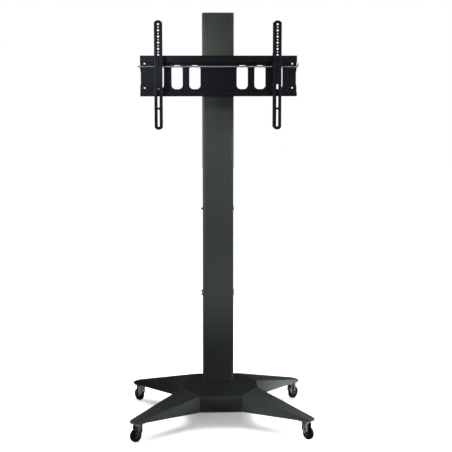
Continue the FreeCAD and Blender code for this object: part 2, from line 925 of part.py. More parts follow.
def carriage_glides():
    """Nylon strips glued inside the sleeve; the tall one at the back takes the hand screws."""
    inner = sleeve_half() - sleeve_wall
    front = sleeve_front() + sleeve_wall
    back = sleeve_back() - sleeve_wall
    middle = column_front + column_depth / 2
    shapes = []
    half = glide_front_width / 2
    for side in sides:
        centre = carriage_centre + side * (sleeve_height - glide_height) / 2
        z0 = centre - glide_height / 2
        z1 = centre + glide_height / 2
        shapes.append(block(-half, half, front, front + glide_thick, z0, z1))
        for x0, x1 in ((-inner, -inner + glide_thick), (inner - glide_thick, inner)):
            shapes.append(block(x0, x1, middle - glide_side_width / 2, middle + glide_side_width / 2, z0, z1))
    z0 = carriage_centre - sleeve_height / 2
    z1 = carriage_centre + sleeve_height / 2
    shapes.append(block(-half, half, back - glide_thick, back, z0, z1))
    return group(shapes)


def clamp_knob(z):
    """Lobed hand knob with its stud, whose end bears on the rear glide."""
    along = vector(0, 1, 0)
    stud_start = sleeve_back() - sleeve_wall
    head_start = sleeve_back() + knob_boss_length + knob_neck
    head = rod(vector(0, head_start, z), along, knob_radius, knob_length)
    for step in range(knob_lobes):
        turn = 2 * math.pi * step / knob_lobes
        x = knob_lobe_circle_radius * math.cos(turn)
        rise = knob_lobe_circle_radius * math.sin(turn)
        head = head.cut(rod(vector(x, head_start, z + rise), along, knob_lobe_radius, knob_length))
    edges = [edge for edge in head.Edges if edge.BoundBox.YLength < running_gap]
    head = head.makeFillet(knob_edge, edges)
    stud = rod(vector(0, stud_start, z), along, knob_stud_radius, head_start - stud_start + knob_length / 2)
    return joined([head, stud])


def web_back():
    return web_front + plate_sheet


def rail_heights():
    return [carriage_centre - rail_tube_spacing / 2, carriage_centre + rail_tube_spacing / 2]


def plate_screw_places():
    return [(side * plate_screw_spacing / 2, z) for side in sides for z in rail_heights()]


def mount_rails():
    """Two short box tubes welded to the sleeve, which carry the wall plate."""
    half = sleeve_half()
    half_height = rail_tube_height / 2
    along = vector(0, 1, 0)
    shapes = []
    for z in rail_heights():
        outer = block(-half, half, web_back(), sleeve_front(), z - half_height, z + half_height)
        wall = rail_tube_wall
        inner = block(-half - overrun, half + overrun, web_back() + wall, sleeve_front() - wall,
                      z - half_height + wall, z + half_height - wall)
        holes = [rod(vector(x, web_front, z), along, plate_screw_radius, plate_screw_length)
                 for x, height in plate_screw_places() if height == z]
        shapes.append(without(outer.cut(inner), holes))
    return group(shapes)


def plate_screws():
    """Round-headed screws through the wall plate into the box tubes."""
    along = vector(0, 1, 0)
    shapes = []
    face = web_front - plate_screw_head
    for x, z in plate_screw_places():
        head = rod(vector(x, face, z), along, plate_screw_head_radius, plate_screw_head)
        rings = [edge for edge in head.Edges if len(edge.Vertexes) == 1]
        rim = [edge for edge in rings if edge.CenterOfMass.y < face + running_gap]
        head = head.makeFillet(plate_screw_head / 2, rim)
        shank = rod(vector(x, web_front, z), along, plate_screw_radius, plate_screw_length)
        shapes.append(joined([head, shank]))
    return group(shapes)


def plate_outline():
    """Section of the wall plate, as (y, z) points: two forward strips, two steps and the web."""
    sheet = plate_sheet
    top_step = plate_top - top_strip_height
    bottom_step = plate_bottom + bottom_strip_height
    strip_back = strip_front + sheet
    return [(strip_front, plate_bottom), (strip_back, plate_bottom), (strip_back, bottom_step - sheet),
            (web_back(), bottom_step - sheet), (web_back(), top_step), (strip_back, top_step),
            (strip_back, plate_top), (strip_front, plate_top), (strip_front, top_step - sheet),
            (web_front, top_step - sheet), (web_front, bottom_step), (strip_front, bottom_step)]


def long_edges(shape, places, reach):
    """Edges along X of a folded sheet that run through given (y, z) places."""
    found = []
    for edge in shape.Edges:
        middle = edge.CenterOfMass
        if edge.BoundBox.XLength < reach:
            continue
        if any(math.hypot(middle.y - y, middle.z - z) < reach for y, z in places):
            found.append(edge)
    return found


def wall_plate():
    """Folded plate across the column, with six hand slots and four fixing holes."""
    outline = plate_outline()
    shape = prism_along_x(outline, -plate_half_width, plate_half_width)
    bends = [outline[3], outline[4], outline[8], outline[11]]
    shape = shape.makeFillet(plate_bend, long_edges(shape, bends, plate_bend))
    y0 = web_front - overrun
    y1 = web_back() + overrun
    along = vector(0, 1, 0)
    cuts = []
    for side in sides:
        for share, width in zip(slot_centre_shares, slot_widths):
            centre = side * share * plate_half_width
            low = centre - width / 2
            high = centre + width / 2
            slot = block(low, high, y0, y1, plate_bottom + slot_low_margin, plate_top - slot_high_margin)
            corner_edges = [edge for edge in slot.Edges if edge.BoundBox.YLength > plate_sheet]
            cuts.append(slot.makeFillet(slot_corner, corner_edges))
        end = side * plate_half_width
        beyond = end + side * overrun
        waist = end - side * web_end_cut
        low = plate_bottom + web_end_cut_low_margin
        high = plate_top - web_end_cut_high_margin
        notch = [(beyond, low), (end, low), (waist, low + web_end_cut_taper),
                 (waist, high - web_end_cut_taper), (end, high), (beyond, high)]
        cuts.append(prism_along_y(notch, y0, y1))
        upper_hole = plate_top - fixing_hole_below_top
        for z in (upper_hole - fixing_hole_spacing, upper_hole):
            hole = vector(end - side * fixing_hole_end_margin, y0, z)
            cuts.append(rod(hole, along, fixing_hole_radius, y1 - y0))
    for x, z in plate_screw_places():
        cuts.append(rod(vector(x, y0, z), along, plate_screw_radius, y1 - y0))
    return without(shape, cuts)


# Screen arms


def arm_end_outline(x):
    """Front view of an arm: straight sides and two arched ends, as one wire."""
    half = arm_width / 2
    arch = arm_end_radius - math.sqrt(arm_end_radius ** 2 - half ** 2)
    bottom = arm_top - arm_length
    y = arm_face - overrun
    top_left = vector(x - half, y, arm_top - arch)
    top_right = vector(x + half, y, arm_top - arch)
    low_left = vector(x - half, y, bottom + arch)
    low_right = vector(x + half, y, bottom + arch)
    top = Part.Arc(top_left, vector(x, y, arm_top), top_right).toShape()
    low = Part.Arc(low_right, vector(x, y, bottom), low_left).toShape()
    right = Part.LineSegment(top_right, low_right).toShape()
    left = Part.LineSegment(low_left, top_left).toShape()
    return Part.Wire([top, right, low, left])


def wall_outline():
    """Side view of an arm's wall, as (y, z) points, with the hook over the strip and the lobe for the bar."""
    bottom = arm_top - arm_length
    back = strip_front - sliding_gap
    strip_back = strip_front + plate_sheet + sliding_gap
    hook_top = plate_top + hook_rise
    step = plate_top - top_strip_height
    lobe_top = bar_height + lobe_height / 2
    lobe_bottom = bar_height - lobe_height / 2
    return [(arm_face, bottom), (back, bottom), (back, lobe_bottom), (hook_back, lobe_bottom),
            (hook_back, lobe_top), (back, lobe_top), (back, plate_top + sliding_gap),
            (strip_back, plate_top + sliding_gap), (strip_back, step + hook_tail_gap),
            (hook_back, step + hook_tail_gap), (hook_back, hook_top), (back, hook_top),
            (back, arm_top), (arm_face, arm_top)]


def screen_arm(x):
    """Channel with a row of screw holes and two slots in its face, and hooked side walls."""
    half = arm_width / 2
    outer = prism_along_x(wall_outline(), x - half, x + half)
    front_edges = [edge for edge in outer.Edges
                   if abs(edge.CenterOfMass.y - arm_face) < running_gap and edge.BoundBox.ZLength > arm_width]
    outer = outer.makeFillet(arm_bend, front_edges)
    inner = half - arm_sheet
    bottom = arm_top - arm_length
    cavity = block(x - inner, x + inner, arm_face + arm_sheet, hook_back + overrun,
                   bottom - overrun, arm_top + overrun)
    ends = Part.Face(arm_end_outline(x)).extrude(vector(0, hook_back - arm_face + 2 * overrun, 0))
    along = vector(0, 1, 0)
    start = arm_face - overrun
    depth = arm_sheet + 2 * overrun
    cuts = [cavity, rod(vector(x - arm_width, bar_depth, bar_height), vector(1, 0, 0),
                        bar_radius + sliding_gap, 2 * arm_width)]
    for step in range(hole_count):
        radius = small_hole_radius if step % 2 else large_hole_radius
        z = arm_top - first_hole_below_top - step * hole_pitch
        cuts.append(rod(vector(x, start, z), along, radius, depth))
    upper_top = arm_top - upper_slot_below_top
    upper_bottom = upper_top - upper_slot_length
    lower_top = upper_bottom - slot_bridge
    cuts.append(slot_prism(x, upper_bottom, upper_top, arm_slot_width, start, start + depth))
    cuts.append(slot_prism(x, lower_top - lower_slot_length, lower_top, arm_slot_width, start, start + depth))
    return without(outer.common(ends), cuts)


def arm_spacer(x, centre):
    """Block inside an arm that keeps its walls apart and steadies it off the web."""
    inner = arm_width / 2 - arm_sheet
    half = spacer_height / 2
    front = arm_face + arm_sheet
    back = web_front - spacer_web_gap
    return block(x - inner, x + inner, front, back, centre - half, centre + half)


def lock_bar():
    """Rod through both arms under the plate's top strip, turned up at its right end."""
    bend_start = plate_half_width + bar_right_overhang - bar_radius - bar_hook_radius
    left = vector(-plate_half_width - bar_left_overhang, bar_depth, bar_height)
    start = vector(bend_start, bar_depth, bar_height)
    turned = math.sqrt(2) / 2
    middle = start + vector(bar_hook_radius * turned, 0, bar_hook_radius * (1 - turned))
    end = start + vector(bar_hook_radius, 0, bar_hook_radius)
    tail = end + vector(0, 0, bar_hook_rise)
    path = Part.Wire([Part.LineSegment(left, start).toShape(), Part.Arc(start, middle, end).toShape(),
                      Part.LineSegment(end, tail).toShape()])
    circle = Part.Wire([Part.makeCircle(bar_radius, left, vector(1, 0, 0))])
    return path.makePipeShell([circle], True, False)


# Writing


def save(name, shape):
    shape.exportStep("parts/" + name + ".step")


def save_base():
    save("hub_cover", hub_cover())
    save("hub_plate", hub_plate())
    leg = leg_front_right()
    for side_x, side_y, name in corners_of_base():
        save("leg_" + name, mirrored(leg, side_x, side_y))
    save("leg_bolts", leg_bolts())
    save("leg_nuts", leg_nuts())


def corners_of_base():
    return [(-1, -1, "front_left"), (1, -1, "front_right"), (-1, 1, "rear_left"), (1, 1, "rear_right")]


def save_castors():
    plates, bolts, balls, pins = [], [], [], []
    for side_x, side_y, name in corners_of_base():
        along_leg = outward_turn(leg_angle, side_x, side_y)
        plates.append(at_pivot(castor_plate(), side_x, side_y, along_leg))
        bolts.append(at_pivot(castor_bolt_set(), side_x, side_y, along_leg))
        balls.append(at_pivot(castor_ball_set(), side_x, side_y, along_leg))
        pins.append(at_pivot(kingpin(), side_x, side_y, along_leg))
        turn = outward_turn(castor_rest_angles[name], side_x, side_y)
        for piece, shape in (("fork", castor_fork()), ("axle", castor_axle()),
                             ("hub", castor_hub()), ("tyre", castor_tyre())):
            save("castor_" + piece + "_" + name, at_pivot(shape, side_x, side_y, turn))
    save("castor_plates", group(plates))
    save("castor_bolts", group(bolts))
    save("castor_balls", group(balls))
    save("castor_kingpins", group(pins))


def save_column():
    save("column_profile", column_profile())
    save("column_foot", column_foot())
    save("column_foot_bolts", column_foot_bolts())
    save("column_stiffeners", column_stiffeners())
    foot_top = hub_plate_top + foot_thick
    half_gap = cover_joint_gap / 2
    save("rear_cover_lower", rear_cover(foot_top, cover_joint_height - half_gap))
    save("rear_cover_upper", rear_cover(cover_joint_height + half_gap, column_top))
    screws, nuts = cover_parts()
    save("cover_screws", screws)
    save("cover_nuts", nuts)
    save("column_cap", column_cap())
    save("accessory_nuts", accessory_nuts())


def save_carriage():
    save("carriage_sleeve", carriage_sleeve())
    save("carriage_glides", carriage_glides())
    save("mount_rails", mount_rails())
    save("wall_plate", wall_plate())
    save("plate_screws", plate_screws())
    lower, upper = knob_heights()
    save("clamp_knob_lower", clamp_knob(lower))
    save("clamp_knob_upper", clamp_knob(upper))


def save_arms():
    save("arm_left", screen_arm(arm_left_x))
    save("arm_right", screen_arm(arm_right_x))
    save("arm_spacer_left", arm_spacer(arm_left_x, arm_top - spacer_left_below_top))
    save("arm_spacer_right", arm_spacer(arm_right_x, arm_top - spacer_right_below_top))
    save("lock_bar", lock_bar())


os.makedirs("parts", exist_ok=True)
save_base()
save_castors()
save_column()
save_carriage()
save_arms()
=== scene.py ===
import json
import math

import bpy
import numpy as np
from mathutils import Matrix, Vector


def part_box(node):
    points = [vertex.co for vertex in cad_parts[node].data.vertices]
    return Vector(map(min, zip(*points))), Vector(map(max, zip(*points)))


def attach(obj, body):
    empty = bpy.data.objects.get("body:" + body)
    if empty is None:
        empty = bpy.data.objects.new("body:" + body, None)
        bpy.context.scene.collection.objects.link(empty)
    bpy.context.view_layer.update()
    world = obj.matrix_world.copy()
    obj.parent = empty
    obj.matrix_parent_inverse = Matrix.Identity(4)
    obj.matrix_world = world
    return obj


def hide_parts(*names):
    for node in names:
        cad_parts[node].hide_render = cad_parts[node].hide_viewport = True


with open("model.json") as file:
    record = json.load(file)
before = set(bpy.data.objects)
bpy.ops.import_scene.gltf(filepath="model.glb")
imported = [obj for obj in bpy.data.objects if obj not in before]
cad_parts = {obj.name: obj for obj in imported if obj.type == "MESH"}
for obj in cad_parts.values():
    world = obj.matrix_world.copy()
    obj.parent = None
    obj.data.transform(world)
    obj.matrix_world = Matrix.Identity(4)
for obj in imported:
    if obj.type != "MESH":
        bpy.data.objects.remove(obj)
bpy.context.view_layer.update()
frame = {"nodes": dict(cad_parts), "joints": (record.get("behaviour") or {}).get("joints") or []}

bl_info = {
    "name": "Monitor Floor Stand Looks",
    "version": (1, 0, 0),
    "blender": (4, 5, 0),
    "location": "3D View > Sidebar > Stand",
    "description": "Finishes, detail pieces and a studio for a castored monitor floor stand",
    "category": "Object",
}

MM = 0.001
CORNERS = ("front_left", "front_right", "rear_left", "rear_right")
WHITE = (1.0, 1.0, 1.0, 1.0)

# Sizes are in metres, and the same as the solids' where the pieces touch them

# Tyres; places and spreads are shares of half the tread
WHEEL_RADIUS = 27 * MM
WHEEL_HALF = 7.5 * MM
TYRE_WALL = 22.8 * MM
TYRE_CROWN = 3.3 * MM
CROWN_POWER = 3.2
GROOVE_PLACE = 0.36
GROOVE_SPREAD = 0.035
MOULD_LINE = 0.15 * MM
MOULD_LINE_SPREAD = 0.02
TYRE_LAP = 0.3 * MM

# Wheel centres, with six ribs across the recess on each face
RIM_RADIUS = 19.5 * MM
RIM_HALF = 6.5 * MM
RIM_CHAMFER = 0.4 * MM
WHEEL_BOSS_RADIUS = 6.5 * MM
WHEEL_BOSS_HALF = 7.7 * MM
WHEEL_BOSS_CHAMFER = 0.3 * MM
AXLE_BORE = 3.05 * MM
RECESS_INNER = 8 * MM
RECESS_MIDDLE = 12.5 * MM
RECESS_OUTER = 16.5 * MM
RECESS_EDGE = 1 * MM
RECESS_DEPTH = 2.6 * MM
RIBS = 6
RIB_SLOPE = 6
RIB_START = 4.6

# Hand knobs; the neck and the dish are shares of the radius
KNOB_RADIUS = 19 * MM
KNOB_LENGTH = 20 * MM
KNOB_POWER = 5
KNOB_NECK = 0.3
KNOB_DISH = (0.28, 0.24)
KNOB_DISH_DEPTH = 0.8 * MM
LOBES = 6
LOBE_POWER = 0.8
STUD_LAP = 4 * MM

# Lock bar
BAR_BEND = 6 * MM
BAR_CHAMFER = 0.6 * MM

# Screws: each thread's radius and pitch, the heads' sizes, and shares of the pitch and of half the flats
M5 = (2.5 * MM, 0.8 * MM)
M6 = (3 * MM, 1 * MM)
M8 = (4 * MM, 1.25 * MM)
M6_FLATS = 10 * MM
M6_HEAD = 4 * MM
M8_FLATS = 13 * MM
M8_HEAD = 5.5 * MM
M8_NUT = 6.4 * MM
THREAD_DEPTH = 0.54
THREAD_TIP_LENGTH = 0.4
THREAD_TIP_DROP = 0.6
CHAMFER_CIRCLE = 0.95
CHAMFER_SLOPE = math.tan(math.radians(30))
DISH_RIM = 0.6
DISH_FLOOR = 0.5
DISH_DEPTH = 0.3 * MM
HEX_COLUMNS = 48

# Screws of the rear covers, with their washers' profile
COVER_SCREW_INSET = 10 * MM
COVER_SCREW_HEIGHTS = (0.893, 0.5324, 0.5192)
COVER_SCREW_FLATS = 9 * MM
COVER_SCREW_HEAD = 4.4 * MM
COVER_SCREW_LENGTH = 9.5 * MM
WASHER_THICKNESS = 1.4 * MM
WASHER_ALONG = np.array([0, 0.9, 1.4, 1.4]) * MM
WASHER_RADIUS = np.array([5.4, 5.4, 4.9, 3.0]) * MM

# Domed screws of the wall plate
PLATE_SCREW_LENGTH = 12 * MM
DOME_RADIUS = 7 * MM
DOME_EDGE = 0.5 * MM
DOME_RISE = 1.9 * MM
DOME_INNER = 2.9 * MM
SOCKET_HALF = 2.5 * MM
SOCKET_FLOOR = 0.6 * MM

# Weld beads on the carriage: a pool is one ripple's length along a rail, and pools are counted round a boss
RAIL_TUBE_HEIGHT = 30 * MM
RAIL_WELD_INSET = 6 * MM
RAIL_POOL = 2.2 * MM
WELD_END = 0.3
SLEEVE_BOSS_LENGTH = 10 * MM
SLEEVE_BOSS_RADIUS = 9 * MM
SLEEVE_BOSS_POOLS = 13

# Bolts of the base: a leg's two are given for one quarter, and a castor's four by their half spacings
HUB_PLATE_BOTTOM = 0.1
LEG_BOLTS = ((0.09731, 0.13437), (0.12453, 0.08543))
LEG_BOLT_LENGTH = 20.4 * MM
LEG_BOLT_GRIP = 12 * MM
CASTOR_PLATE_BOTTOM = 0.076
CASTOR_BOLT_OUT = 0.018
CASTOR_BOLT_ACROSS = 0.015
CASTOR_BOLT_LENGTH = 6.5 * MM
FORK_HALF = 10 * MM
AXLE_RADIUS = 3 * MM
AXLE_HEAD = 3 * MM

# Stage
SENSOR_WIDTH = 36.0
FARTHEST_SEEN = 50.0
FLOOR_HALF = 12.0
FLOOR_SUN_STRENGTH = 5.6
FLOOR_SUN_ANGLE = math.radians(80)

# Soft boxes: power in W, size, place, the point it faces, and its grid's spread in degrees
LAMPS = {
    "key_above": (1.6, (0.7, 0.95), (0.0, -1.9, 3.75), (0.0, 0.0, 1.52), 22),
    "plate_left": (0.75, (0.3, 0.3), (-1.6, -1.9, 1.75), (-0.33, 0.0, 1.53), 10),
    "plate_right": (0.16, (0.3, 0.3), (1.6, -1.9, 1.75), (0.33, 0.0, 1.53), 10),
    "column_low": (0.13, (0.4, 0.3), (0.2, -2.4, 0.5), (0.0, 0.0, 0.52), 10),
    "column_left": (5.0, (0.6, 0.8), (-2.2, -0.3, 1.15), (0.0, 0.0, 1.1), 44),
    "column_right": (4.4, (0.6, 0.8), (2.2, -0.5, 1.2), (0.0, 0.0, 1.1), 44),
    "base_far_left": (0.18, (0.3, 0.2), (-1.95, -0.35, 0.2), (0.1, -0.1, 0.0), 20),
    "base_left": (0.46, (0.3, 0.2), (-1.65, -0.6, 0.18), (0.15, -0.22, -0.03), 16),
    "base_far_right": (0.6, (0.3, 0.2), (1.95, -0.35, 0.2), (-0.1, -0.1, 0.0), 20),
    "base_right": (0.42, (0.3, 0.2), (1.65, -0.6, 0.18), (-0.15, -0.22, -0.03), 16),
    "leg_rear_right": (0.66, (0.2, 0.15), (1.4, -0.2, 0.12), (0.28, 0.22, 0.06), 20),
    "leg_front_right": (0.12, (0.3, 0.3), (0.95, -0.95, 0.75), (0.29, -0.27, 0.08), 16),
    "rear_column": (3.0, (0.8, 0.8), (0.9, 2.4, 1.3), (0.0, 0.0, 1.15), 40),
    "rear_column_left": (2.5, (0.6, 0.8), (-1.9, 1.5, 1.2), (0.0, 0.0, 1.15), 40),
    "rear_base": (0.36, (0.4, 0.3), (-0.3, 2.0, 0.2), (0.0, 0.1, 0.03), 40),
}


# Node building


class Socket:
    """A shader socket whose arithmetic adds Math nodes."""

    def __init__(self, tree, link):
        self.tree = tree
        self.link = link

    def maths(self, operation, *others):
        node = self.tree.nodes.new("ShaderNodeMath")
        node.operation = operation
        for place, value in enumerate((self,) + others):
            if isinstance(value, Socket):
                self.tree.links.new(value.link, node.inputs[place])
            else:
                node.inputs[place].default_value = value
        return Socket(self.tree, node.outputs[0])

    def __add__(self, other):
        return self.maths("ADD", other)

    def __radd__(self, other):
        return self.maths("ADD", other)

    def __mul__(self, other):
        return self.maths("MULTIPLY", other)

    def __rmul__(self, other):
        return self.maths("MULTIPLY", other)

    def __sub__(self, other):
        return self.maths("SUBTRACT", other)

    def __rsub__(self, other):
        return (self * -1.0).maths("ADD", other)

    def clamped(self):
        return self.maths("MAXIMUM", 0.0).maths("MINIMUM", 1.0)


class Nodes:
    """A node tree, emptied, with short ways to add to it."""

    def __init__(self, tree, output):
        self.tree = tree
        tree.nodes.clear()
        self.output = tree.nodes.new(output)

    def node(self, kind, output=0, settings=None, places=None, **inputs):
        """Adds a node: its settings first, then the values or links of its sockets; gives one output.

        Sockets go by name, and in places by number, where several of a node's have one name.
        """
        node = self.tree.nodes.new(kind)
        for key, value in (settings or {}).items():
            setattr(node, key, value)
        for place, value in (places or {}).items():
            self.feed(node.inputs[place], value)
        for key, value in inputs.items():
            self.feed(node.inputs[key.replace("_", " ")], value)
        return Socket(self.tree, node.outputs[output])

    def feed(self, socket, value):
        if isinstance(value, Socket):
            self.tree.links.new(value.link, socket)
        else:
            socket.default_value = value

    def show(self, shader):
        """Makes a shader the one that the tree gives out."""
        self.feed(self.output.inputs[0], shader)

    def ray(self, *kinds):
        """1 for rays of the given kinds, from Light Path, and 0 for the rest."""
        first, *rest = [self.node("ShaderNodeLightPath", "Is " + kind + " Ray") for kind in kinds]
        for other in rest:
            first = first.maths("MAXIMUM", other)
        return first

    def either(self, share, first, second):
        """The first shader where share is 0 and the second where it is 1."""
        return self.node("ShaderNodeMixShader", places={0: share, 1: first, 2: second})


class Finish(Nodes):
    """One material under construction: what it gives out is a Principled shader."""

    def __init__(self, name):
        self.material = bpy.data.materials.new(name)
        self.material.use_nodes = True
        super().__init__(self.material.node_tree, "ShaderNodeOutputMaterial")
        self.principled = self.tree.nodes.new("ShaderNodeBsdfPrincipled")
        self.shader = Socket(self.tree, self.principled.outputs[0])
        self.show(self.shader)

    def set(self, **inputs):
        for key, value in inputs.items():
            self.feed(self.principled.inputs[key.replace("_", " ")], value)
        return self.material

    def place(self):
        return self.node("ShaderNodeTexCoord", "Object")

    def stretched(self, scale):
        """Object coordinates stretched along the axes."""
        return self.node("ShaderNodeMapping", "Vector", Vector=self.place(), Scale=scale)

    def noise(self, scale, detail=2.0, rough=0.5, where=None):
        return self.node("ShaderNodeTexNoise", "Fac", Vector=where or self.place(),
                         Scale=scale, Detail=detail, Roughness=rough)

    def spread(self, value, low, high):
        """Number from 0 to 1 taken to a range."""
        return self.node("ShaderNodeMapRange", Value=value, To_Min=low, To_Max=high)

    def window(self, value, start, end):
        """Number that rises from 0 to 1 as a value goes from start to end."""
        return self.node("ShaderNodeMapRange", Value=value, From_Min=start, From_Max=end)

    def mixed(self, share, first, second):
        """The first colour where share is 0 and the second where it is 1."""
        return self.node("ShaderNodeMix", 2, {"data_type": "RGBA"}, {0: share, 6: first, 7: second})

    def upward(self):
        """How far a surface faces up, from 0 to 1."""
        normal = self.node("ShaderNodeNewGeometry", "Normal")
        return self.node("ShaderNodeSeparateXYZ", "Z", Vector=normal).clamped()

    def edge(self, radius):
        """Share of edge near a point: how much a rounded normal leans from the true one."""
        rounded = self.node("ShaderNodeBevel", "Normal", {"samples": 6}, Radius=radius)
        true = self.node("ShaderNodeNewGeometry", "Normal")
        normals = {0: rounded, 1: true}
        agreement = self.node("ShaderNodeVectorMath", "Value", {"operation": "DOT_PRODUCT"}, normals)
        return self.window(agreement, 0.995, 0.86)

    def hollow(self, reach):
        """How far a point is shut in by what lies within reach of it, from 0 to 1."""
        return 1.0 - self.node("ShaderNodeAmbientOcclusion", "AO", {"samples": 8}, Distance=reach)

    def bump(self, height, distance, strength):
        return self.node("ShaderNodeBump", "Normal", Height=height, Distance=distance, Strength=strength)


def srgb(r, g, b):
    """Linear colour of an sRGB one given from 0 to 255.

    A share v of 255 becomes v / 12.92 below 0.04045, and ((v + 0.055) / 1.055)^2.4 above it.
    """
    out = []
    for v in (r / 255, g / 255, b / 255):
        out.append(v / 12.92 if v < 0.04045 else ((v + 0.055) / 1.055) ** 2.4)
    return tuple(out) + (1.0,)


def scaled(colour, factor):
    return tuple(min(1.0, c * factor) for c in colour[:3]) + (1.0,)


# Finishes


def powder_coat(name, colour, peel, roughness, dust, edge_width, edge_light, sheen):
    """Matt powder paint: orange peel, cloudy gloss, a painted highlight on edges and settled dust on top.

    Peel is the bump's depth.  Edge light is how strong the painted highlight is within the edge width of an
    edge, and sheen is the mean weight of its clear coat.
    """
    f = Finish(name)
    deep_tone = scaled(colour, 0.86)
    pale_tone = scaled(colour, 1.14)
    fleck = scaled(colour, 2.0)
    # Brighter copy of the paint, laid on edges as a painted highlight
    painted_edge_highlight = scaled(colour, 2.6)
    floor_dust = srgb(96, 98, 96)
    grain = f.noise(1500.0, detail=1.0)
    peel_height = f.noise(420.0, rough=0.55)
    cloud = f.noise(5.0, detail=3.0, rough=0.6)
    fine_cloud = f.noise(38.0, detail=3.0, rough=0.65)
    paint = f.mixed(cloud * 0.6 + fine_cloud * 0.4, deep_tone, pale_tone)
    speck = f.window(f.noise(900.0, detail=0.0), 0.66, 0.74)
    paint = f.mixed(speck * 0.2, paint, fleck)
    edges = f.edge(edge_width)
    # Painted highlight: edges paled towards the brighter copy, standing in for light caught on the bends
    paint = f.mixed(edges * edge_light, paint, painted_edge_highlight)
    lying = f.upward() * f.window(f.noise(11.0, detail=4.0, rough=0.7), 0.35, 0.75)
    paint = f.mixed(lying * dust, paint, floor_dust)
    return f.set(Base_Color=paint, Roughness=roughness, Specular_IOR_Level=0.0, Coat_Roughness=0.36,
                 Coat_Weight=f.spread(fine_cloud, 0.7 * sheen, 1.3 * sheen) + edges * 0.3,
                 Normal=f.bump(peel_height * 0.7 + grain * 0.3, peel, 0.55))


def zinc_plate(name, colour, smoothest, roughest, contrast, edge_light=1.5):
    """Bright zinc: cloudy metal with painted reflections in streaks down it, a faint straw bloom, a painted
    highlight on its edges and painted shade in its hollows.
    """
    f = Finish(name)
    painted_dark_reflection = scaled(colour, 1 - 0.6 * contrast)
    painted_bright_reflection = scaled(colour, 1 + contrast)
    cloudy = scaled(colour, 0.7)
    straw = scaled(srgb(188, 184, 160), 2.2 * colour[1])
    # Paler edge colour: some rubbed wear, raised by edge_light into a painted highlight
    pale_edge = scaled(colour, edge_light)
    painted_hollow_shade = scaled(colour, 0.05)
    cloud = f.noise(90.0, detail=4.0, rough=0.65)
    # Painted reflection: light and dark streaks down the metal stand in for the surroundings it reflects
    painted_reflection_mask = f.window(f.noise(130.0, where=f.stretched((1.0, 1.0, 0.12))), 0.5, 0.62)
    rubs = f.noise(60.0, detail=3.0, rough=0.6, where=f.stretched((1.0, 1.0, 22.0)))
    bloom = f.window(f.noise(45.0), 0.5, 0.75)
    metal = f.mixed(painted_reflection_mask, painted_dark_reflection, painted_bright_reflection)
    metal = f.mixed(cloud * 0.3, metal, cloudy)
    metal = f.mixed(bloom * 0.15, metal, straw)
    # Painted highlight along the edges, partly rubbed wear and mostly light caught on the fork edges
    metal = f.mixed(f.edge(1.2 * MM) * 0.7, metal, pale_edge)
    # Painted shade: hollows and the parts under the leg darkened by occlusion, where shade falls
    metal = f.mixed(f.window(f.hollow(30 * MM), 0.15, 0.75) * 0.9, metal, painted_hollow_shade)
    relief = rubs * 0.5 + cloud * 0.5
    return f.set(Base_Color=metal, Metallic=1.0, Roughness=f.spread(relief, smoothest, roughest),
                 Normal=f.bump(relief, 0.05 * MM, 0.5))


def drawn_rod(name, colour):
    """Drawn steel rod: fine lines along its length, rubbed darker where it is handled."""
    f = Finish(name)
    dark_line = scaled(colour, 0.72)
    bright_line = scaled(colour, 1.22)
    handled = scaled(colour, 0.55)
    lines = f.noise(700.0, detail=3.0, rough=0.7, where=f.stretched((0.01, 1.0, 1.0)))
    rubbed = f.window(f.noise(14.0, detail=3.0, rough=0.6), 0.5, 0.8)
    metal = f.mixed(lines, dark_line, bright_line)
    metal = f.mixed(rubbed * 0.4, metal, handled)
    return f.set(Base_Color=metal, Metallic=1.0, Roughness=f.spread(lines, 0.26, 0.42),
                 Normal=f.bump(lines, 0.03 * MM, 0.5))


def wheel_rubber(name, colour):
    """Black tread: fine moulded grain, grey floor dust and small scuffs."""
    f = Finish(name)
    floor_dust = srgb(30, 30, 29)
    scuffed = srgb(52, 51, 49)
    grain = f.noise(2600.0)
    scuff = f.window(f.noise(260.0, detail=4.0, rough=0.7), 0.56, 0.7)
    dirt = f.window(f.noise(60.0, detail=3.0, rough=0.6), 0.45, 0.8)
    rubber = f.mixed(dirt * 0.25, colour, floor_dust)
    rubber = f.mixed(scuff * 0.15, rubber, scuffed)
    return f.set(Base_Color=rubber, Roughness=f.spread(grain * 0.5 + dirt * 0.5, 0.48, 0.72),
                 Specular_IOR_Level=0.0, Coat_Weight=f.spread(grain, 0.01, 0.04), Coat_Roughness=0.3,
                 Normal=f.bump(grain * 0.6 + scuff * 0.4, 0.06 * MM, 0.6))


def moulded_plastic(name, colour, grain_scale, roughness):
    """Moulded plastic: spark-eroded grain, slight flow marks and paler rubbed edges."""
    f = Finish(name)
    dark_flow = scaled(colour, 0.85)
    pale_flow = scaled(colour, 1.2)
    pale_edge = scaled(colour, 2.4)
    grain = f.node("ShaderNodeTexVoronoi", "Distance", {"feature": "SMOOTH_F1"},
                   Vector=f.place(), Scale=grain_scale, Smoothness=0.6)
    flow = f.noise(70.0, detail=3.0, rough=0.6, where=f.stretched((1.0, 0.4, 1.0)))
    plastic = f.mixed(flow, dark_flow, pale_flow)
    plastic = f.mixed(f.edge(0.6 * MM) * 0.35, plastic, pale_edge)
    return f.set(Base_Color=plastic, Roughness=f.spread(flow, roughness - 0.06, roughness + 0.08),
                 Specular_IOR_Level=0.0, Coat_Weight=f.spread(flow, 0.02, 0.07), Coat_Roughness=0.3,
                 Normal=f.bump(grain, 0.06 * MM, 0.5))


def assign(node_names, material):
    for name in node_names:
        mesh = frame["nodes"][name].data
        mesh.materials.clear()
        mesh.materials.append(material)


# Meshes


def smoothed(mesh, angle):
    """Smooth shading, broken where faces meet at more than the angle."""
    mesh.polygons.foreach_set("use_smooth", np.ones(len(mesh.polygons), bool))
    mesh.set_sharp_from_angle(angle=angle)


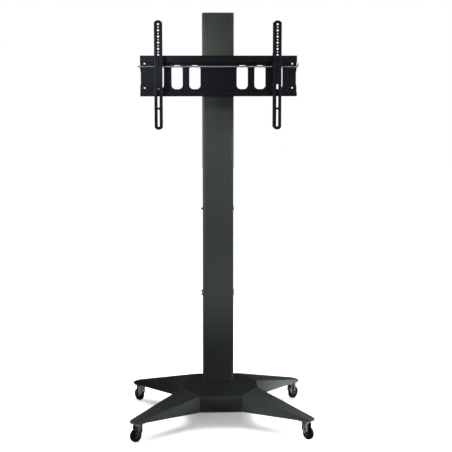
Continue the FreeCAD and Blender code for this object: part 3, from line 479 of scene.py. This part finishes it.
def piece(name, grids, body, material, nodes=(), angle=0.5):
    """One mesh from grids of points, rows by columns, whose columns close into rings.

    A plain grid's first and last ring each close in a centre point, which is the ring's mean.  A grid
    given as a loop has its last row joined to its first instead, as a ring with a bore has.
    """
    points = []
    faces = []
    start = 0
    for grid in grids:
        looped = isinstance(grid, tuple)
        grid = grid[0] if looped else grid
        rows, columns = grid.shape[:2]
        points.append(grid.reshape(-1, 3))
        i = np.arange(rows if looped else rows - 1)[:, None]
        j = np.arange(columns)[None, :]
        k = (j + 1) % columns
        n = (i + 1) % rows
        quads = np.stack([i * columns + j, i * columns + k, n * columns + k, n * columns + j], -1)
        faces += (quads.reshape(-1, 4) + start).tolist()
        low = rows * columns
        if not looped:
            points.append(np.stack([grid[0].mean(0), grid[-1].mean(0)]))
            ring = np.arange(columns)
            after = (ring + 1) % columns
            first = np.stack([np.full(columns, low), after, ring], -1)
            last = np.stack([np.full(columns, low + 1), ring + low - columns, after + low - columns], -1)
            faces += (first + start).tolist() + (last + start).tolist()
            low += 2
        start += low
    mesh = bpy.data.meshes.new(name)
    mesh.from_pydata(np.concatenate(points).tolist(), [], faces)
    mesh.update()
    smoothed(mesh, angle)
    mesh.materials.append(material)
    made = bpy.data.objects.new(name, mesh)
    bpy.context.scene.collection.objects.link(made)
    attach(made, body)
    if nodes:
        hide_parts(*nodes)
    return made


def round_axis(axis):
    """Unit axis with the two unit directions square to it; the three are right-handed."""
    axis = np.array(axis, float) / np.linalg.norm(axis)
    side = np.cross(axis, [0.0, 0.0, 1.0])
    if np.linalg.norm(side) < 1e-6:
        side = np.array([1.0, 0.0, 0.0])
    side = side / np.linalg.norm(side)
    return axis, side, np.cross(axis, side)


def round_turn(columns):
    """Equal steps of a full turn, the last one short of the first."""
    return np.linspace(0, 2 * np.pi, columns, endpoint=False)


def turned(along, radius, centre, axis, columns):
    """Grid of rings about an axis: point = centre + along * axis + radius * (cos t, sin t).

    Along and radius are rows, or rows by columns where they change round the ring.  Faces point
    outwards while the profile runs along the axis on its outer side.
    """
    axis, side, up = round_axis(axis)
    turn = round_turn(columns)
    ring = np.cos(turn)[None, :, None] * side + np.sin(turn)[None, :, None] * up
    along = np.array(along, float)
    radius = np.array(radius, float)
    along = along[:, None, None] if along.ndim == 1 else along[:, :, None]
    radius = radius[:, None, None] if radius.ndim == 1 else radius[:, :, None]
    return np.array(centre, float) + along * axis + radius * ring


def hexagon(half, columns):
    """Radius of a hexagon in direction t: half the flats / cos(((t + 30) mod 60) - 30)."""
    sixth = np.pi / 3
    return half / np.cos((round_turn(columns) + sixth / 2) % sixth - sixth / 2)


def hex_head(centre, axis, flats, height):
    """Chamfered hexagon head from its seat to its slightly dished top.

    The 30 degree chamfer lowers the side's upper edge by (hexagon radius - 0.95 a) * tan 30, where a is
    half the width over the flats.
    """
    half = flats / 2
    corner = hexagon(half, HEX_COLUMNS)
    level = np.ones(HEX_COLUMNS)
    circle = CHAMFER_CIRCLE * half
    shoulder = height - (corner - circle) * CHAMFER_SLOPE
    along = [0 * level, shoulder, height * level, height * level, (height - DISH_DEPTH) * level]
    radius = [corner, corner, circle * level, DISH_RIM * half * level, DISH_FLOOR * half * level]
    return turned(along, radius, centre, axis, HEX_COLUMNS)


def hex_nut(centre, axis, flats, height, bore):
    """Hexagon nut as a ring with a round bore, chamfered at both faces as a head is at its top."""
    half = flats / 2
    corner = hexagon(half, HEX_COLUMNS)
    level = np.ones(HEX_COLUMNS)
    circle = CHAMFER_CIRCLE * half
    drop = (corner - circle) * CHAMFER_SLOPE
    along = [0 * level, 0 * level, drop, height - drop, height * level, height * level]
    radius = [bore * level, circle * level, corner, corner, circle * level, bore * level]
    return (turned(along, radius, centre, axis, HEX_COLUMNS),)


def threaded(centre, axis, thread, length):
    """Screw shank: radius falls by 0.54 of the pitch in each groove of a triangular thread.

    Its last 0.4 of a pitch narrows to a tip that is 0.6 of the pitch smaller.
    """
    radius, pitch = thread
    turns = max(2, int(length / pitch))
    step = np.arange(2 * turns + 1)
    depth = np.where(step % 2 == 0, 0.0, THREAD_DEPTH * pitch)
    run = step / (2 * turns) * (length - THREAD_TIP_LENGTH * pitch)
    along = np.concatenate([[0.0], run, [length]])
    radii = np.concatenate([[radius], radius - depth, [radius - THREAD_TIP_DROP * pitch]])
    return turned(along, radii, centre, axis, 24)


def carried(path, radius, columns):
    """Round bar along a path in a plane of constant y: rings of (cos t) * (tangent x n) + (sin t) * n.

    n is the y axis, and the radius is a row that may change along the path.
    """
    path = np.array(path, float)
    tangent = np.gradient(path, axis=0)
    tangent = tangent / np.linalg.norm(tangent, axis=1, keepdims=True)
    normal = np.array([0.0, 1.0, 0.0])
    across = np.cross(tangent, normal)
    turn = round_turn(columns)
    ring = np.cos(turn)[None, :, None] * across[:, None, :] + np.sin(turn)[None, :, None] * normal
    return path[:, None, :] + radius[:, None, None] * ring


def joint_place(name):
    joint = next(j for j in frame["joints"] if j["name"] == name)
    return np.array(joint["pos_m"], float), np.array(joint["axis"], float)


def wheel_frame(corner):
    """Centre and axis of a wheel, from its rolling joint."""
    return joint_place("castor_roll_" + corner)


# Settings


def length_setting(name, description, value, low=0.0):
    return bpy.props.FloatProperty(name=name, description=description, default=value, min=low, unit="LENGTH")


def colour_setting(name, description, value):
    return bpy.props.FloatVectorProperty(name=name, description=description, default=value[:3],
                                         min=0.0, max=1.0, size=3, subtype="COLOR")


def angle_setting(name, description, degrees):
    return bpy.props.FloatProperty(name=name, description=description, default=math.radians(degrees),
                                   subtype="ANGLE")


def level_setting(name, description, value):
    return bpy.props.FloatProperty(name=name, description=description, default=value, min=0.0)


class StandFinishes(bpy.types.PropertyGroup):
    stand: colour_setting("Stand paint", "Colour of the base, the column and the carriage", srgb(66, 71, 68))
    bracket: colour_setting("Bracket paint", "Colour of the wall plate and the arms", srgb(18, 20, 25))
    zinc: colour_setting("Zinc", "Colour of the castors' forks and plates", srgb(72, 76, 78))
    steel: colour_setting("Screw steel", "Colour of bolts, nuts and kingpins", srgb(66, 69, 72))
    bar: colour_setting("Bar steel", "Colour of the lock bar", srgb(92, 97, 101))
    tyre: colour_setting("Tyres", "Colour of the castors' treads", srgb(9, 10, 10))
    plastic: colour_setting("Plastic", "Colour of the spacers, knobs and wheel centres", srgb(19, 20, 21))


class StandDetails(bpy.types.PropertyGroup):
    knob_wave: length_setting("Knob lobes", "Depth of the hand knobs' lobes", 2.6 * MM)
    tread_groove: length_setting("Tread groove", "Depth of the two grooves in each tread", 0.4 * MM)
    weld_radius: length_setting("Weld bead", "Radius of the weld beads at the carriage", 1.6 * MM)


class StandStage(bpy.types.PropertyGroup):
    focal: bpy.props.FloatProperty(name="Focal length", description="Lens in millimetres on a 36 mm sensor",
                                   default=93.98, min=10.0)
    distance: length_setting("Distance", "Camera's distance from the point it looks at", 4.963, 1.0)
    azimuth: angle_setting("Azimuth", "Turn of the camera about the stand", -2.89)
    elevation: angle_setting("Elevation", "Height of the camera as an angle", 7.97)
    target: bpy.props.FloatVectorProperty(name="Target", description="Point the camera looks at",
                                          default=(0.0291, 0.0, 0.83524), subtype="TRANSLATION")
    front_level: level_setting("Front lamps", "Level of the lamps in front", 1.0)
    rear_level: level_setting("Rear lamps", "Level of the lamps behind", 1.0)
    sky: level_setting("Room light", "Strength of the even light all round", 0.055)


def finishes():
    return bpy.context.scene.stand_finishes


def details():
    return bpy.context.scene.stand_details


def rgba(colour):
    return tuple(colour) + (1.0,)


def shared(key, make):
    """A material by name, made the first time it is asked for."""
    found = bpy.data.materials.get(key)
    return found or make(key)


def stand_paint():
    return shared("stand_powder_coat", lambda n: powder_coat(
        n, rgba(finishes().stand), peel=0.12 * MM, roughness=0.6, dust=0.03,
        edge_width=1 * MM, edge_light=0.25, sheen=0.01))


def base_paint():
    """The stand's paint on the folded base, whose bends get a wider and stronger painted highlight."""
    return shared("base_powder_coat", lambda n: powder_coat(
        n, rgba(finishes().stand), peel=0.12 * MM, roughness=0.6, dust=0.03,
        edge_width=3 * MM, edge_light=0.8, sheen=0.01))


def bracket_paint():
    return shared("bracket_powder_coat", lambda n: powder_coat(
        n, rgba(finishes().bracket), peel=0.12 * MM, roughness=0.55, dust=0.02,
        edge_width=1.6 * MM, edge_light=0.4, sheen=0.1))


def zinc():
    return shared("bright_zinc", lambda n: zinc_plate(
        n, rgba(finishes().zinc), smoothest=0.2, roughest=0.38, contrast=1.6, edge_light=4.5))


def steel():
    return shared("screw_steel", lambda n: zinc_plate(
        n, rgba(finishes().steel), smoothest=0.3, roughest=0.5, contrast=0.3))


def black_steel():
    return shared("blackened_steel", lambda n: zinc_plate(
        n, srgb(27, 29, 33), smoothest=0.4, roughest=0.6, contrast=0.2))


def ball_steel():
    return shared("ball_steel", lambda n: zinc_plate(
        n, srgb(165, 167, 170), smoothest=0.08, roughest=0.16, contrast=0.1))


def plastic():
    return shared("moulded_plastic", lambda n: moulded_plastic(
        n, rgba(finishes().plastic), grain_scale=1400.0, roughness=0.5))


def nylon():
    return shared("natural_nylon", lambda n: moulded_plastic(
        n, srgb(226, 224, 214), grain_scale=900.0, roughness=0.45))


# Operators


class STAND_OT_painted_frame(bpy.types.Operator):
    """Powder coat on the base, the column and the carriage."""
    bl_idname = "stand.painted_frame"
    bl_label = "Painted Frame"

    def execute(self, context):
        assign(["column_profile", "column_foot", "column_stiffeners", "rear_cover_lower",
                "rear_cover_upper", "carriage_sleeve"], stand_paint())
        assign(["hub_cover", "hub_plate"] + ["leg_" + corner for corner in CORNERS], base_paint())
        assign(["carriage_glides"], nylon())
        return {"FINISHED"}


class STAND_OT_bracket(bpy.types.Operator):
    """Powder coat on the wall plate, its rails and the arms."""
    bl_idname = "stand.bracket"
    bl_label = "Wall Plate and Arms"

    def execute(self, context):
        assign(["wall_plate", "mount_rails", "arm_left", "arm_right", "accessory_nuts"], bracket_paint())
        assign(["arm_spacer_left", "arm_spacer_right"], plastic())
        return {"FINISHED"}


class STAND_OT_castor_metal(bpy.types.Operator):
    """Zinc on the castors' plates and forks, and steel on their small parts."""
    bl_idname = "stand.castor_metal"
    bl_label = "Castor Metal"

    def execute(self, context):
        assign(["castor_plates"] + ["castor_fork_" + corner for corner in CORNERS], zinc())
        assign(["castor_balls"], ball_steel())
        assign(["castor_kingpins", "castor_bolts", "leg_bolts", "leg_nuts", "column_foot_bolts",
                "cover_nuts"], steel())
        assign(["castor_axle_" + corner for corner in CORNERS], steel())
        assign(["cover_screws", "plate_screws"], black_steel())
        return {"FINISHED"}


class STAND_OT_tyres(bpy.types.Operator):
    """Round-shouldered treads with two fine grooves and a mould line."""
    bl_idname = "stand.tyres"
    bl_label = "Tyres"

    def execute(self, context):
        groove = details().tread_groove
        rubber = shared("tread_rubber", lambda n: wheel_rubber(n, rgba(finishes().tyre)))
        t = np.linspace(-1, 1, 61)
        # Crowned section: radius = R - crown * |t|^3.2, with a narrow dip, exp(-x^2), at each groove and a
        # narrow ridge of the same form at the middle; t goes across the tread
        dips = np.exp(-((np.abs(t) - GROOVE_PLACE) / GROOVE_SPREAD) ** 2) * groove
        line = np.exp(-(t / MOULD_LINE_SPREAD) ** 2) * MOULD_LINE
        radius = WHEEL_RADIUS - MOULD_LINE - TYRE_CROWN * np.abs(t) ** CROWN_POWER - dips + line
        along = np.sin(t * math.pi / 2) * WHEEL_HALF
        bore = RIM_RADIUS - TYRE_LAP
        along = np.concatenate([[-WHEEL_HALF] * 2, along[1:-1], [WHEEL_HALF] * 2])
        radius = np.concatenate([[bore, TYRE_WALL], radius[1:-1], [TYRE_WALL, bore]])
        for corner in CORNERS:
            centre, axis = wheel_frame(corner)
            piece("tyre_" + corner, [(turned(along, radius, centre, axis, 96),)], "wheel_" + corner,
                  rubber, ["castor_tyre_" + corner])
        return {"FINISHED"}


class STAND_OT_wheel_centres(bpy.types.Operator):
    """Moulded wheel centres with a ring recess crossed by ribs on each face."""
    bl_idname = "stand.wheel_centres"
    bl_label = "Wheel Centres"

    def execute(self, context):
        columns = 120
        # Face depth = recess * window(r) * (1 - ribs): the window rises and falls over the recess's edges,
        # and ribs is a narrow bump, a clipped cosine, at each of six turns
        ribs = np.clip(np.cos(RIBS * round_turn(columns)) * RIB_SLOPE - RIB_START, 0, 1)
        edge = np.array([0, 0.5, 1]) * RECESS_EDGE
        r = np.concatenate([RECESS_INNER + edge, [RECESS_MIDDLE], RECESS_OUTER - edge[::-1],
                            [RIM_RADIUS - RIM_CHAMFER, RIM_RADIUS]])
        window = np.clip((r - RECESS_INNER) / RECESS_EDGE, 0, 1)
        window *= np.clip((RECESS_OUTER - r) / RECESS_EDGE, 0, 1)
        fall = np.where(r < RIM_RADIUS, 0.0, RIM_CHAMFER)
        face = RIM_HALF - fall[:, None] - RECESS_DEPTH * window[:, None] * (1 - ribs[None, :])
        level = np.ones(columns)
        boss_along = [WHEEL_BOSS_HALF, WHEEL_BOSS_HALF, WHEEL_BOSS_HALF - WHEEL_BOSS_CHAMFER, RIM_HALF]
        boss_edge = WHEEL_BOSS_RADIUS - WHEEL_BOSS_CHAMFER
        boss_radius = [AXLE_BORE, boss_edge, WHEEL_BOSS_RADIUS, WHEEL_BOSS_RADIUS]
        half_along = np.concatenate([np.array(boss_along)[:, None] * level, face])
        half_radius = np.concatenate([boss_radius, r])[:, None] * level
        along = np.concatenate([-half_along, half_along[::-1]])
        radius = np.concatenate([half_radius, half_radius[::-1]])
        for corner in CORNERS:
            centre, axis = wheel_frame(corner)
            piece("wheel_centre_" + corner, [(turned(along, radius, centre, axis, columns),)],
                  "wheel_" + corner, plastic(), ["castor_hub_" + corner])
        return {"FINISHED"}


class STAND_OT_hand_knobs(bpy.types.Operator):
    """Soft lobed hand knobs on threaded studs."""
    bl_idname = "stand.hand_knobs"
    bl_label = "Hand Knobs"

    def execute(self, context):
        wave = details().knob_wave
        columns = 96
        level = np.ones(columns)
        # Outline: radius = R - wave * (half of 1 - cos(6 t))^0.8
        lobed = KNOB_RADIUS - wave * (0.5 - 0.5 * np.cos(LOBES * round_turn(columns))) ** LOBE_POWER
        # Section through a lobe: a superellipse, |2u - 1|^5 + s^5 = 1, with a narrow neck before it
        u = np.linspace(0, 1, 33)
        share = (1 - np.abs(2 * u - 1) ** KNOB_POWER) ** (1 / KNOB_POWER)
        top = [KNOB_LENGTH, KNOB_LENGTH - KNOB_DISH_DEPTH]
        along = np.concatenate([KNOB_LENGTH * u, top])[:, None] * level
        dish = np.array(KNOB_DISH)[:, None] * KNOB_RADIUS * level
        radius = np.concatenate([np.maximum(share[:, None], KNOB_NECK) * lobed, dish])
        for word in ("lower", "upper"):
            node = "clamp_knob_" + word
            low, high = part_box(node)
            centre = np.array([(low[0] + high[0]) / 2, high[1] - KNOB_LENGTH, (low[2] + high[2]) / 2])
            stud = centre.copy()
            stud[1] = low[1]
            grids = [turned(along, radius, centre, (0, 1, 0), columns),
                     threaded(stud, (0, 1, 0), M8, centre[1] - low[1] + STUD_LAP)]
            piece("hand_knob_" + word, grids, "knob_" + word, plastic(), [node], angle=0.7)
        return {"FINISHED"}


class STAND_OT_lock_bar(bpy.types.Operator):
    """Round lock bar with a turned-up end and chamfered tips."""
    bl_idname = "stand.lock_bar"
    bl_label = "Lock Bar"

    def execute(self, context):
        low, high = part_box("lock_bar")
        radius = (high[1] - low[1]) / 2
        y = (high[1] + low[1]) / 2
        z = low[2] + radius
        right = high[0] - radius
        # Path: a straight run, a quarter circle, (b sin t, b - b cos t), of the bend's radius b, and a
        # straight end
        turn = np.linspace(0, np.pi / 2, 14)
        straight = np.linspace(low[0] + BAR_CHAMFER, right - BAR_BEND, 24)
        bend_start = right - BAR_BEND
        xs = np.concatenate([[low[0]], straight[:-1], bend_start + BAR_BEND * np.sin(turn), [right, right]])
        level = np.full(len(straight), z)
        rise = z + BAR_BEND - BAR_BEND * np.cos(turn)
        zs = np.concatenate([level, rise, [high[2] - BAR_CHAMFER, high[2]]])
        path = np.stack([xs, np.full(len(xs), y), zs], -1)
        sizes = np.full(len(path), radius)
        sizes[[0, -1]] = radius - BAR_CHAMFER
        metal = shared("drawn_steel", lambda n: drawn_rod(n, rgba(finishes().bar)))
        piece("bar_with_hook", [carried(path, sizes, 24)], "lock_bar", metal, ["lock_bar"])
        return {"FINISHED"}


class STAND_OT_side_screws(bpy.types.Operator):
    """Hexagon screws with round washers on the column's sides."""
    bl_idname = "stand.side_screws"
    bl_label = "Side Screws"

    def execute(self, context):
        low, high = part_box("column_profile")
        y = high[1] - COVER_SCREW_INSET
        grids = []
        for side, wall in ((-1, low[0]), (1, high[0])):
            for z in COVER_SCREW_HEIGHTS:
                seat = np.array([wall, y, z])
                out = np.array([side, 0, 0])
                head_seat = seat + out * WASHER_THICKNESS
                grids.append(turned(WASHER_ALONG, WASHER_RADIUS, seat, out, 48))
                grids.append(hex_head(head_seat, out, COVER_SCREW_FLATS, COVER_SCREW_HEAD))
                grids.append(threaded(seat, -out, M5, COVER_SCREW_LENGTH))
        piece("side_screw_set", grids, "stand", black_steel(), ["cover_screws"])
        return {"FINISHED"}


class STAND_OT_plate_screws(bpy.types.Operator):
    """Domed screws with hexagon sockets that hold the wall plate to its rails."""
    bl_idname = "stand.plate_screws"
    bl_label = "Plate Screws"

    def execute(self, context):
        low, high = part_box("plate_screws")
        columns = 48
        level = np.ones(columns)
        # Dome from its rim to the socket: height = edge + rise * (1 - (r / R)^2) / (1 - (s / R)^2), with
        # s the radius where the socket starts
        domed = DOME_RADIUS - (DOME_RADIUS - DOME_INNER) * np.linspace(0, 1, 9)
        bulge = (1 - (domed / DOME_RADIUS) ** 2) / (1 - (DOME_INNER / DOME_RADIUS) ** 2)
        height = DOME_EDGE + DOME_RISE * bulge
        socket = hexagon(SOCKET_HALF, columns)
        along = np.concatenate([[0], height, [height[-1], SOCKET_FLOOR]])[:, None] * level
        radius = np.concatenate([[DOME_RADIUS * level], domed[:, None] * level, [socket, socket]])
        seat = high[1] - PLATE_SCREW_LENGTH
        grids = []
        for x in (low[0] + DOME_RADIUS, high[0] - DOME_RADIUS):
            for z in (low[2] + DOME_RADIUS, high[2] - DOME_RADIUS):
                centre = np.array([x, seat, z])
                grids.append(turned(along, radius, centre, (0, -1, 0), columns))
                grids.append(threaded(centre, (0, 1, 0), M8, PLATE_SCREW_LENGTH))
        piece("plate_screw_set", grids, "carriage", black_steel(), ["plate_screws"])
        return {"FINISHED"}


class STAND_OT_welds(bpy.types.Operator):
    """Weld beads where the rails meet the sleeve, and round its two bosses."""
    bl_idname = "stand.welds"
    bl_label = "Weld Beads"

    def execute(self, context):
        bead = details().weld_radius
        low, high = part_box("mount_rails")
        sleeve_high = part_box("carriage_sleeve")[1]
        grids = []
        xs = np.linspace(low[0] + RAIL_WELD_INSET, high[0] - RAIL_WELD_INSET, 180)
        # Straight bead, rippled as each pool overlaps the last: radius = bead * (0.9 + 0.12 |sin(pi x / p)|)
        # with p a pool's length
        sizes = bead * (0.9 + 0.12 * np.abs(np.sin(np.pi * xs / RAIL_POOL)))
        sizes[[0, -1]] = WELD_END * bead
        for z in (low[2], low[2] + RAIL_TUBE_HEIGHT, high[2] - RAIL_TUBE_HEIGHT, high[2]):
            path = np.stack([xs, np.full(len(xs), high[1]), np.full(len(xs), z)], -1)
            grids.append(carried(path, sizes, 10))
        # Bead round a boss: the ring (bead sin s, boss radius + bead cos s), whose radius ripples by
        # 1 + 0.06 |sin| round the boss
        columns = 72
        section = round_turn(12)
        half_turns = np.linspace(0, SLEEVE_BOSS_POOLS * np.pi, columns, endpoint=False)
        ripple = 1 + 0.06 * np.abs(np.sin(half_turns))
        along = bead * np.sin(section)[:, None] * np.ones(columns)
        radius = (SLEEVE_BOSS_RADIUS + bead * np.cos(section))[:, None] * ripple
        for word in ("lower", "upper"):
            pivot = joint_place("knob_" + word + "_turn")[0]
            centre = np.array([pivot[0], sleeve_high[1] - SLEEVE_BOSS_LENGTH, pivot[2]])
            grids.append((turned(along, radius, centre, (0, 1, 0), columns),))
        piece("weld_beads", grids, "carriage", stand_paint(), angle=1.0)
        return {"FINISHED"}


class STAND_OT_base_bolts(bpy.types.Operator):
    """Chamfered bolts and nuts below the base and at the castors."""
    bl_idname = "stand.base_bolts"
    bl_label = "Base Bolts"

    def execute(self, context):
        up = np.array([0, 0, 1.0])
        seats = leg_bolt_places()
        bolts = [hex_head(place, -up, M8_FLATS, M8_HEAD) for place in seats]
        bolts += [threaded(place, up, M8, LEG_BOLT_LENGTH) for place in seats]
        piece("leg_bolt_set", bolts, "stand", steel(), ["leg_bolts"])
        nuts = [hex_nut(place + up * LEG_BOLT_GRIP, up, M8_FLATS, M8_NUT, M8[0]) for place in seats]
        piece("leg_nut_set", nuts, "stand", steel(), ["leg_nuts"])
        small = []
        for corner in CORNERS:
            for place in castor_bolt_places(corner):
                small.append(hex_head(place, -up, M6_FLATS, M6_HEAD))
                small.append(threaded(place, up, M6, CASTOR_BOLT_LENGTH))
        piece("castor_bolt_set", small, "stand", steel(), ["castor_bolts"])
        for corner in CORNERS:
            centre, axis = wheel_frame(corner)
            start = centre - axis * FORK_HALF
            shank = [0, 2 * FORK_HALF + AXLE_HEAD]
            grids = [hex_head(start, -axis, M6_FLATS, AXLE_HEAD),
                     hex_nut(centre + axis * FORK_HALF, axis, M6_FLATS, AXLE_HEAD, AXLE_RADIUS),
                     turned(shank, [AXLE_RADIUS, AXLE_RADIUS], start, axis, 32)]
            piece("axle_screw_" + corner, grids, "swivel_" + corner, black_steel(),
                  ["castor_axle_" + corner])
        return {"FINISHED"}


def leg_bolt_places():
    """Seats of the eight leg bolts on the hub plate's underside, the same in each quarter."""
    return [np.array([side_x * x, side_y * y, HUB_PLATE_BOTTOM])
            for side_x in (-1, 1) for side_y in (-1, 1) for x, y in LEG_BOLTS]


def castor_bolt_places(corner):
    """Seats of one castor's four bolts, in a rectangle along its leg, under the castor's plate."""
    pivot = joint_place("castor_swivel_" + corner)[0]
    out = pivot[:2] / np.linalg.norm(pivot[:2])
    across = np.array([-out[1], out[0]])
    places = []
    for i in (-CASTOR_BOLT_OUT, CASTOR_BOLT_OUT):
        for j in (-CASTOR_BOLT_ACROSS, CASTOR_BOLT_ACROSS):
            x, y = pivot[:2] + out * i + across * j
            places.append(np.array([x, y, CASTOR_PLATE_BOTTOM]))
    return places


class STAND_OT_stage(bpy.types.Operator):
    """Camera, lights, floor and white surroundings."""
    bl_idname = "stand.stage"
    bl_label = "Stage"

    def execute(self, context):
        settings = context.scene.stand_stage
        add_camera(settings)
        add_lights(settings)
        add_floor()
        add_world(settings)
        context.scene.view_settings.view_transform = "Standard"
        return {"FINISHED"}


def add_camera(settings):
    """Camera at distance d from the target, back along (sin a cos e, -cos a cos e, sin e)."""
    camera = bpy.data.cameras.new("camera")
    camera.lens = settings.focal
    camera.sensor_width = SENSOR_WIDTH
    camera.clip_end = FARTHEST_SEEN
    a, e = settings.azimuth, settings.elevation
    back = Vector((math.sin(a) * math.cos(e), -math.cos(a) * math.cos(e), math.sin(e)))
    made = bpy.data.objects.new("camera", camera)
    made.location = Vector(settings.target) + back * settings.distance
    made.rotation_euler = back.to_track_quat("Z", "Y").to_euler()
    bpy.context.scene.collection.objects.link(made)
    bpy.context.scene.camera = made


def add_light(name, power, size, place, target, spread, mirrored):
    light = bpy.data.lights.new(name, "AREA")
    light.energy = power
    light.shape = "RECTANGLE"
    light.size, light.size_y = size
    light.spread = math.radians(spread)
    made = bpy.data.objects.new(name, light)
    made.location = place
    made.rotation_euler = (Vector(place) - Vector(target)).to_track_quat("Z", "Y").to_euler()
    made.visible_camera = False
    made.visible_glossy = mirrored
    bpy.context.scene.collection.objects.link(made)


def add_lights(settings):
    """Soft boxes with grids: each lights the part that it points at, so the column's foot falls away."""
    for name, (power, size, place, target, spread) in LAMPS.items():
        behind = name.startswith("rear")
        level = settings.rear_level if behind else settings.front_level
        add_light(name, power * level, size, place, target, spread, mirrored=not behind)


def add_floor_sun(floor):
    """Wide sun that lights the floor alone, so it stays white while the stand keeps its soft shadow."""
    sun = bpy.data.lights.new("floor_sun", "SUN")
    sun.energy = FLOOR_SUN_STRENGTH
    sun.angle = FLOOR_SUN_ANGLE
    made = bpy.data.objects.new("floor_sun", sun)
    made.location = (0.0, 0.0, 4.0)
    bpy.context.scene.collection.objects.link(made)
    only_floor = bpy.data.collections.new("lit_by_floor_sun")
    only_floor.objects.link(floor)
    made.light_linking.receiver_collection = only_floor


def add_floor():
    """Pale floor; a mirror sees it as white, and it throws little light back at the stand."""
    half = FLOOR_HALF
    mesh = bpy.data.meshes.new("floor")
    corners = [(-half, -half, 0), (half, -half, 0), (half, half, 0), (-half, half, 0)]
    mesh.from_pydata(corners, [], [(0, 1, 2, 3)])
    f = Finish("pale_floor")
    f.set(Base_Color=(0.9, 0.9, 0.9, 1.0), Roughness=0.9, Specular_IOR_Level=0.0)
    dim = f.node("ShaderNodeBsdfDiffuse", Color=(0.05, 0.05, 0.05, 1.0))
    white = f.node("ShaderNodeEmission", Color=WHITE, Strength=1.0)
    unseen = f.either(f.ray("Glossy", "Transmission"), dim, white)
    f.show(f.either(f.ray("Camera"), unseen, f.shader))
    mesh.materials.append(f.material)
    made = bpy.data.objects.new("floor", mesh)
    bpy.context.scene.collection.objects.link(made)
    add_floor_sun(made)


def add_world(settings):
    """White where the camera, a mirror or glass looks, and a low even light for everything else."""
    world = bpy.data.worlds.new("room")
    bpy.context.scene.world = world
    world.use_nodes = True
    room = Nodes(world.node_tree, "ShaderNodeOutputWorld")
    lit = room.node("ShaderNodeBackground", Color=WHITE, Strength=settings.sky)
    white = room.node("ShaderNodeBackground", Color=WHITE, Strength=1.0)
    room.show(room.either(room.ray("Camera", "Glossy", "Transmission"), lit, white))


class STAND_PT_panel(bpy.types.Panel):
    bl_label = "Monitor Floor Stand"
    bl_idname = "STAND_PT_panel"
    bl_space_type = "VIEW_3D"
    bl_region_type = "UI"
    bl_category = "Stand"

    def draw(self, context):
        for name in GROUPS:
            group = getattr(context.scene, name)
            box = self.layout.box()
            for key in group.bl_rna.properties.keys():
                if key not in ("rna_type", "name"):
                    box.prop(group, key)
        for operator in OPERATORS:
            self.layout.operator(operator.bl_idname)


OPERATORS = (STAND_OT_painted_frame, STAND_OT_bracket, STAND_OT_castor_metal, STAND_OT_tyres,
             STAND_OT_wheel_centres, STAND_OT_hand_knobs, STAND_OT_lock_bar, STAND_OT_side_screws,
             STAND_OT_plate_screws, STAND_OT_welds, STAND_OT_base_bolts, STAND_OT_stage)
GROUPS = {"stand_finishes": StandFinishes, "stand_details": StandDetails, "stand_stage": StandStage}


def register():
    for group in GROUPS.values():
        bpy.utils.register_class(group)
    for name, group in GROUPS.items():
        setattr(bpy.types.Scene, name, bpy.props.PointerProperty(type=group))
    for operator in OPERATORS:
        bpy.utils.register_class(operator)
    bpy.utils.register_class(STAND_PT_panel)


def unregister():
    bpy.utils.unregister_class(STAND_PT_panel)
    for operator in reversed(OPERATORS):
        bpy.utils.unregister_class(operator)
    for name in GROUPS:
        delattr(bpy.types.Scene, name)
    for group in GROUPS.values():
        bpy.utils.unregister_class(group)


def main():
    register()
    for operator in OPERATORS:
        family, action = operator.bl_idname.split(".")
        result = getattr(getattr(bpy.ops, family), action)()
        if result != {"FINISHED"}:
            raise RuntimeError(operator.bl_idname + " did not finish")


if __name__ == "__main__":
    main()
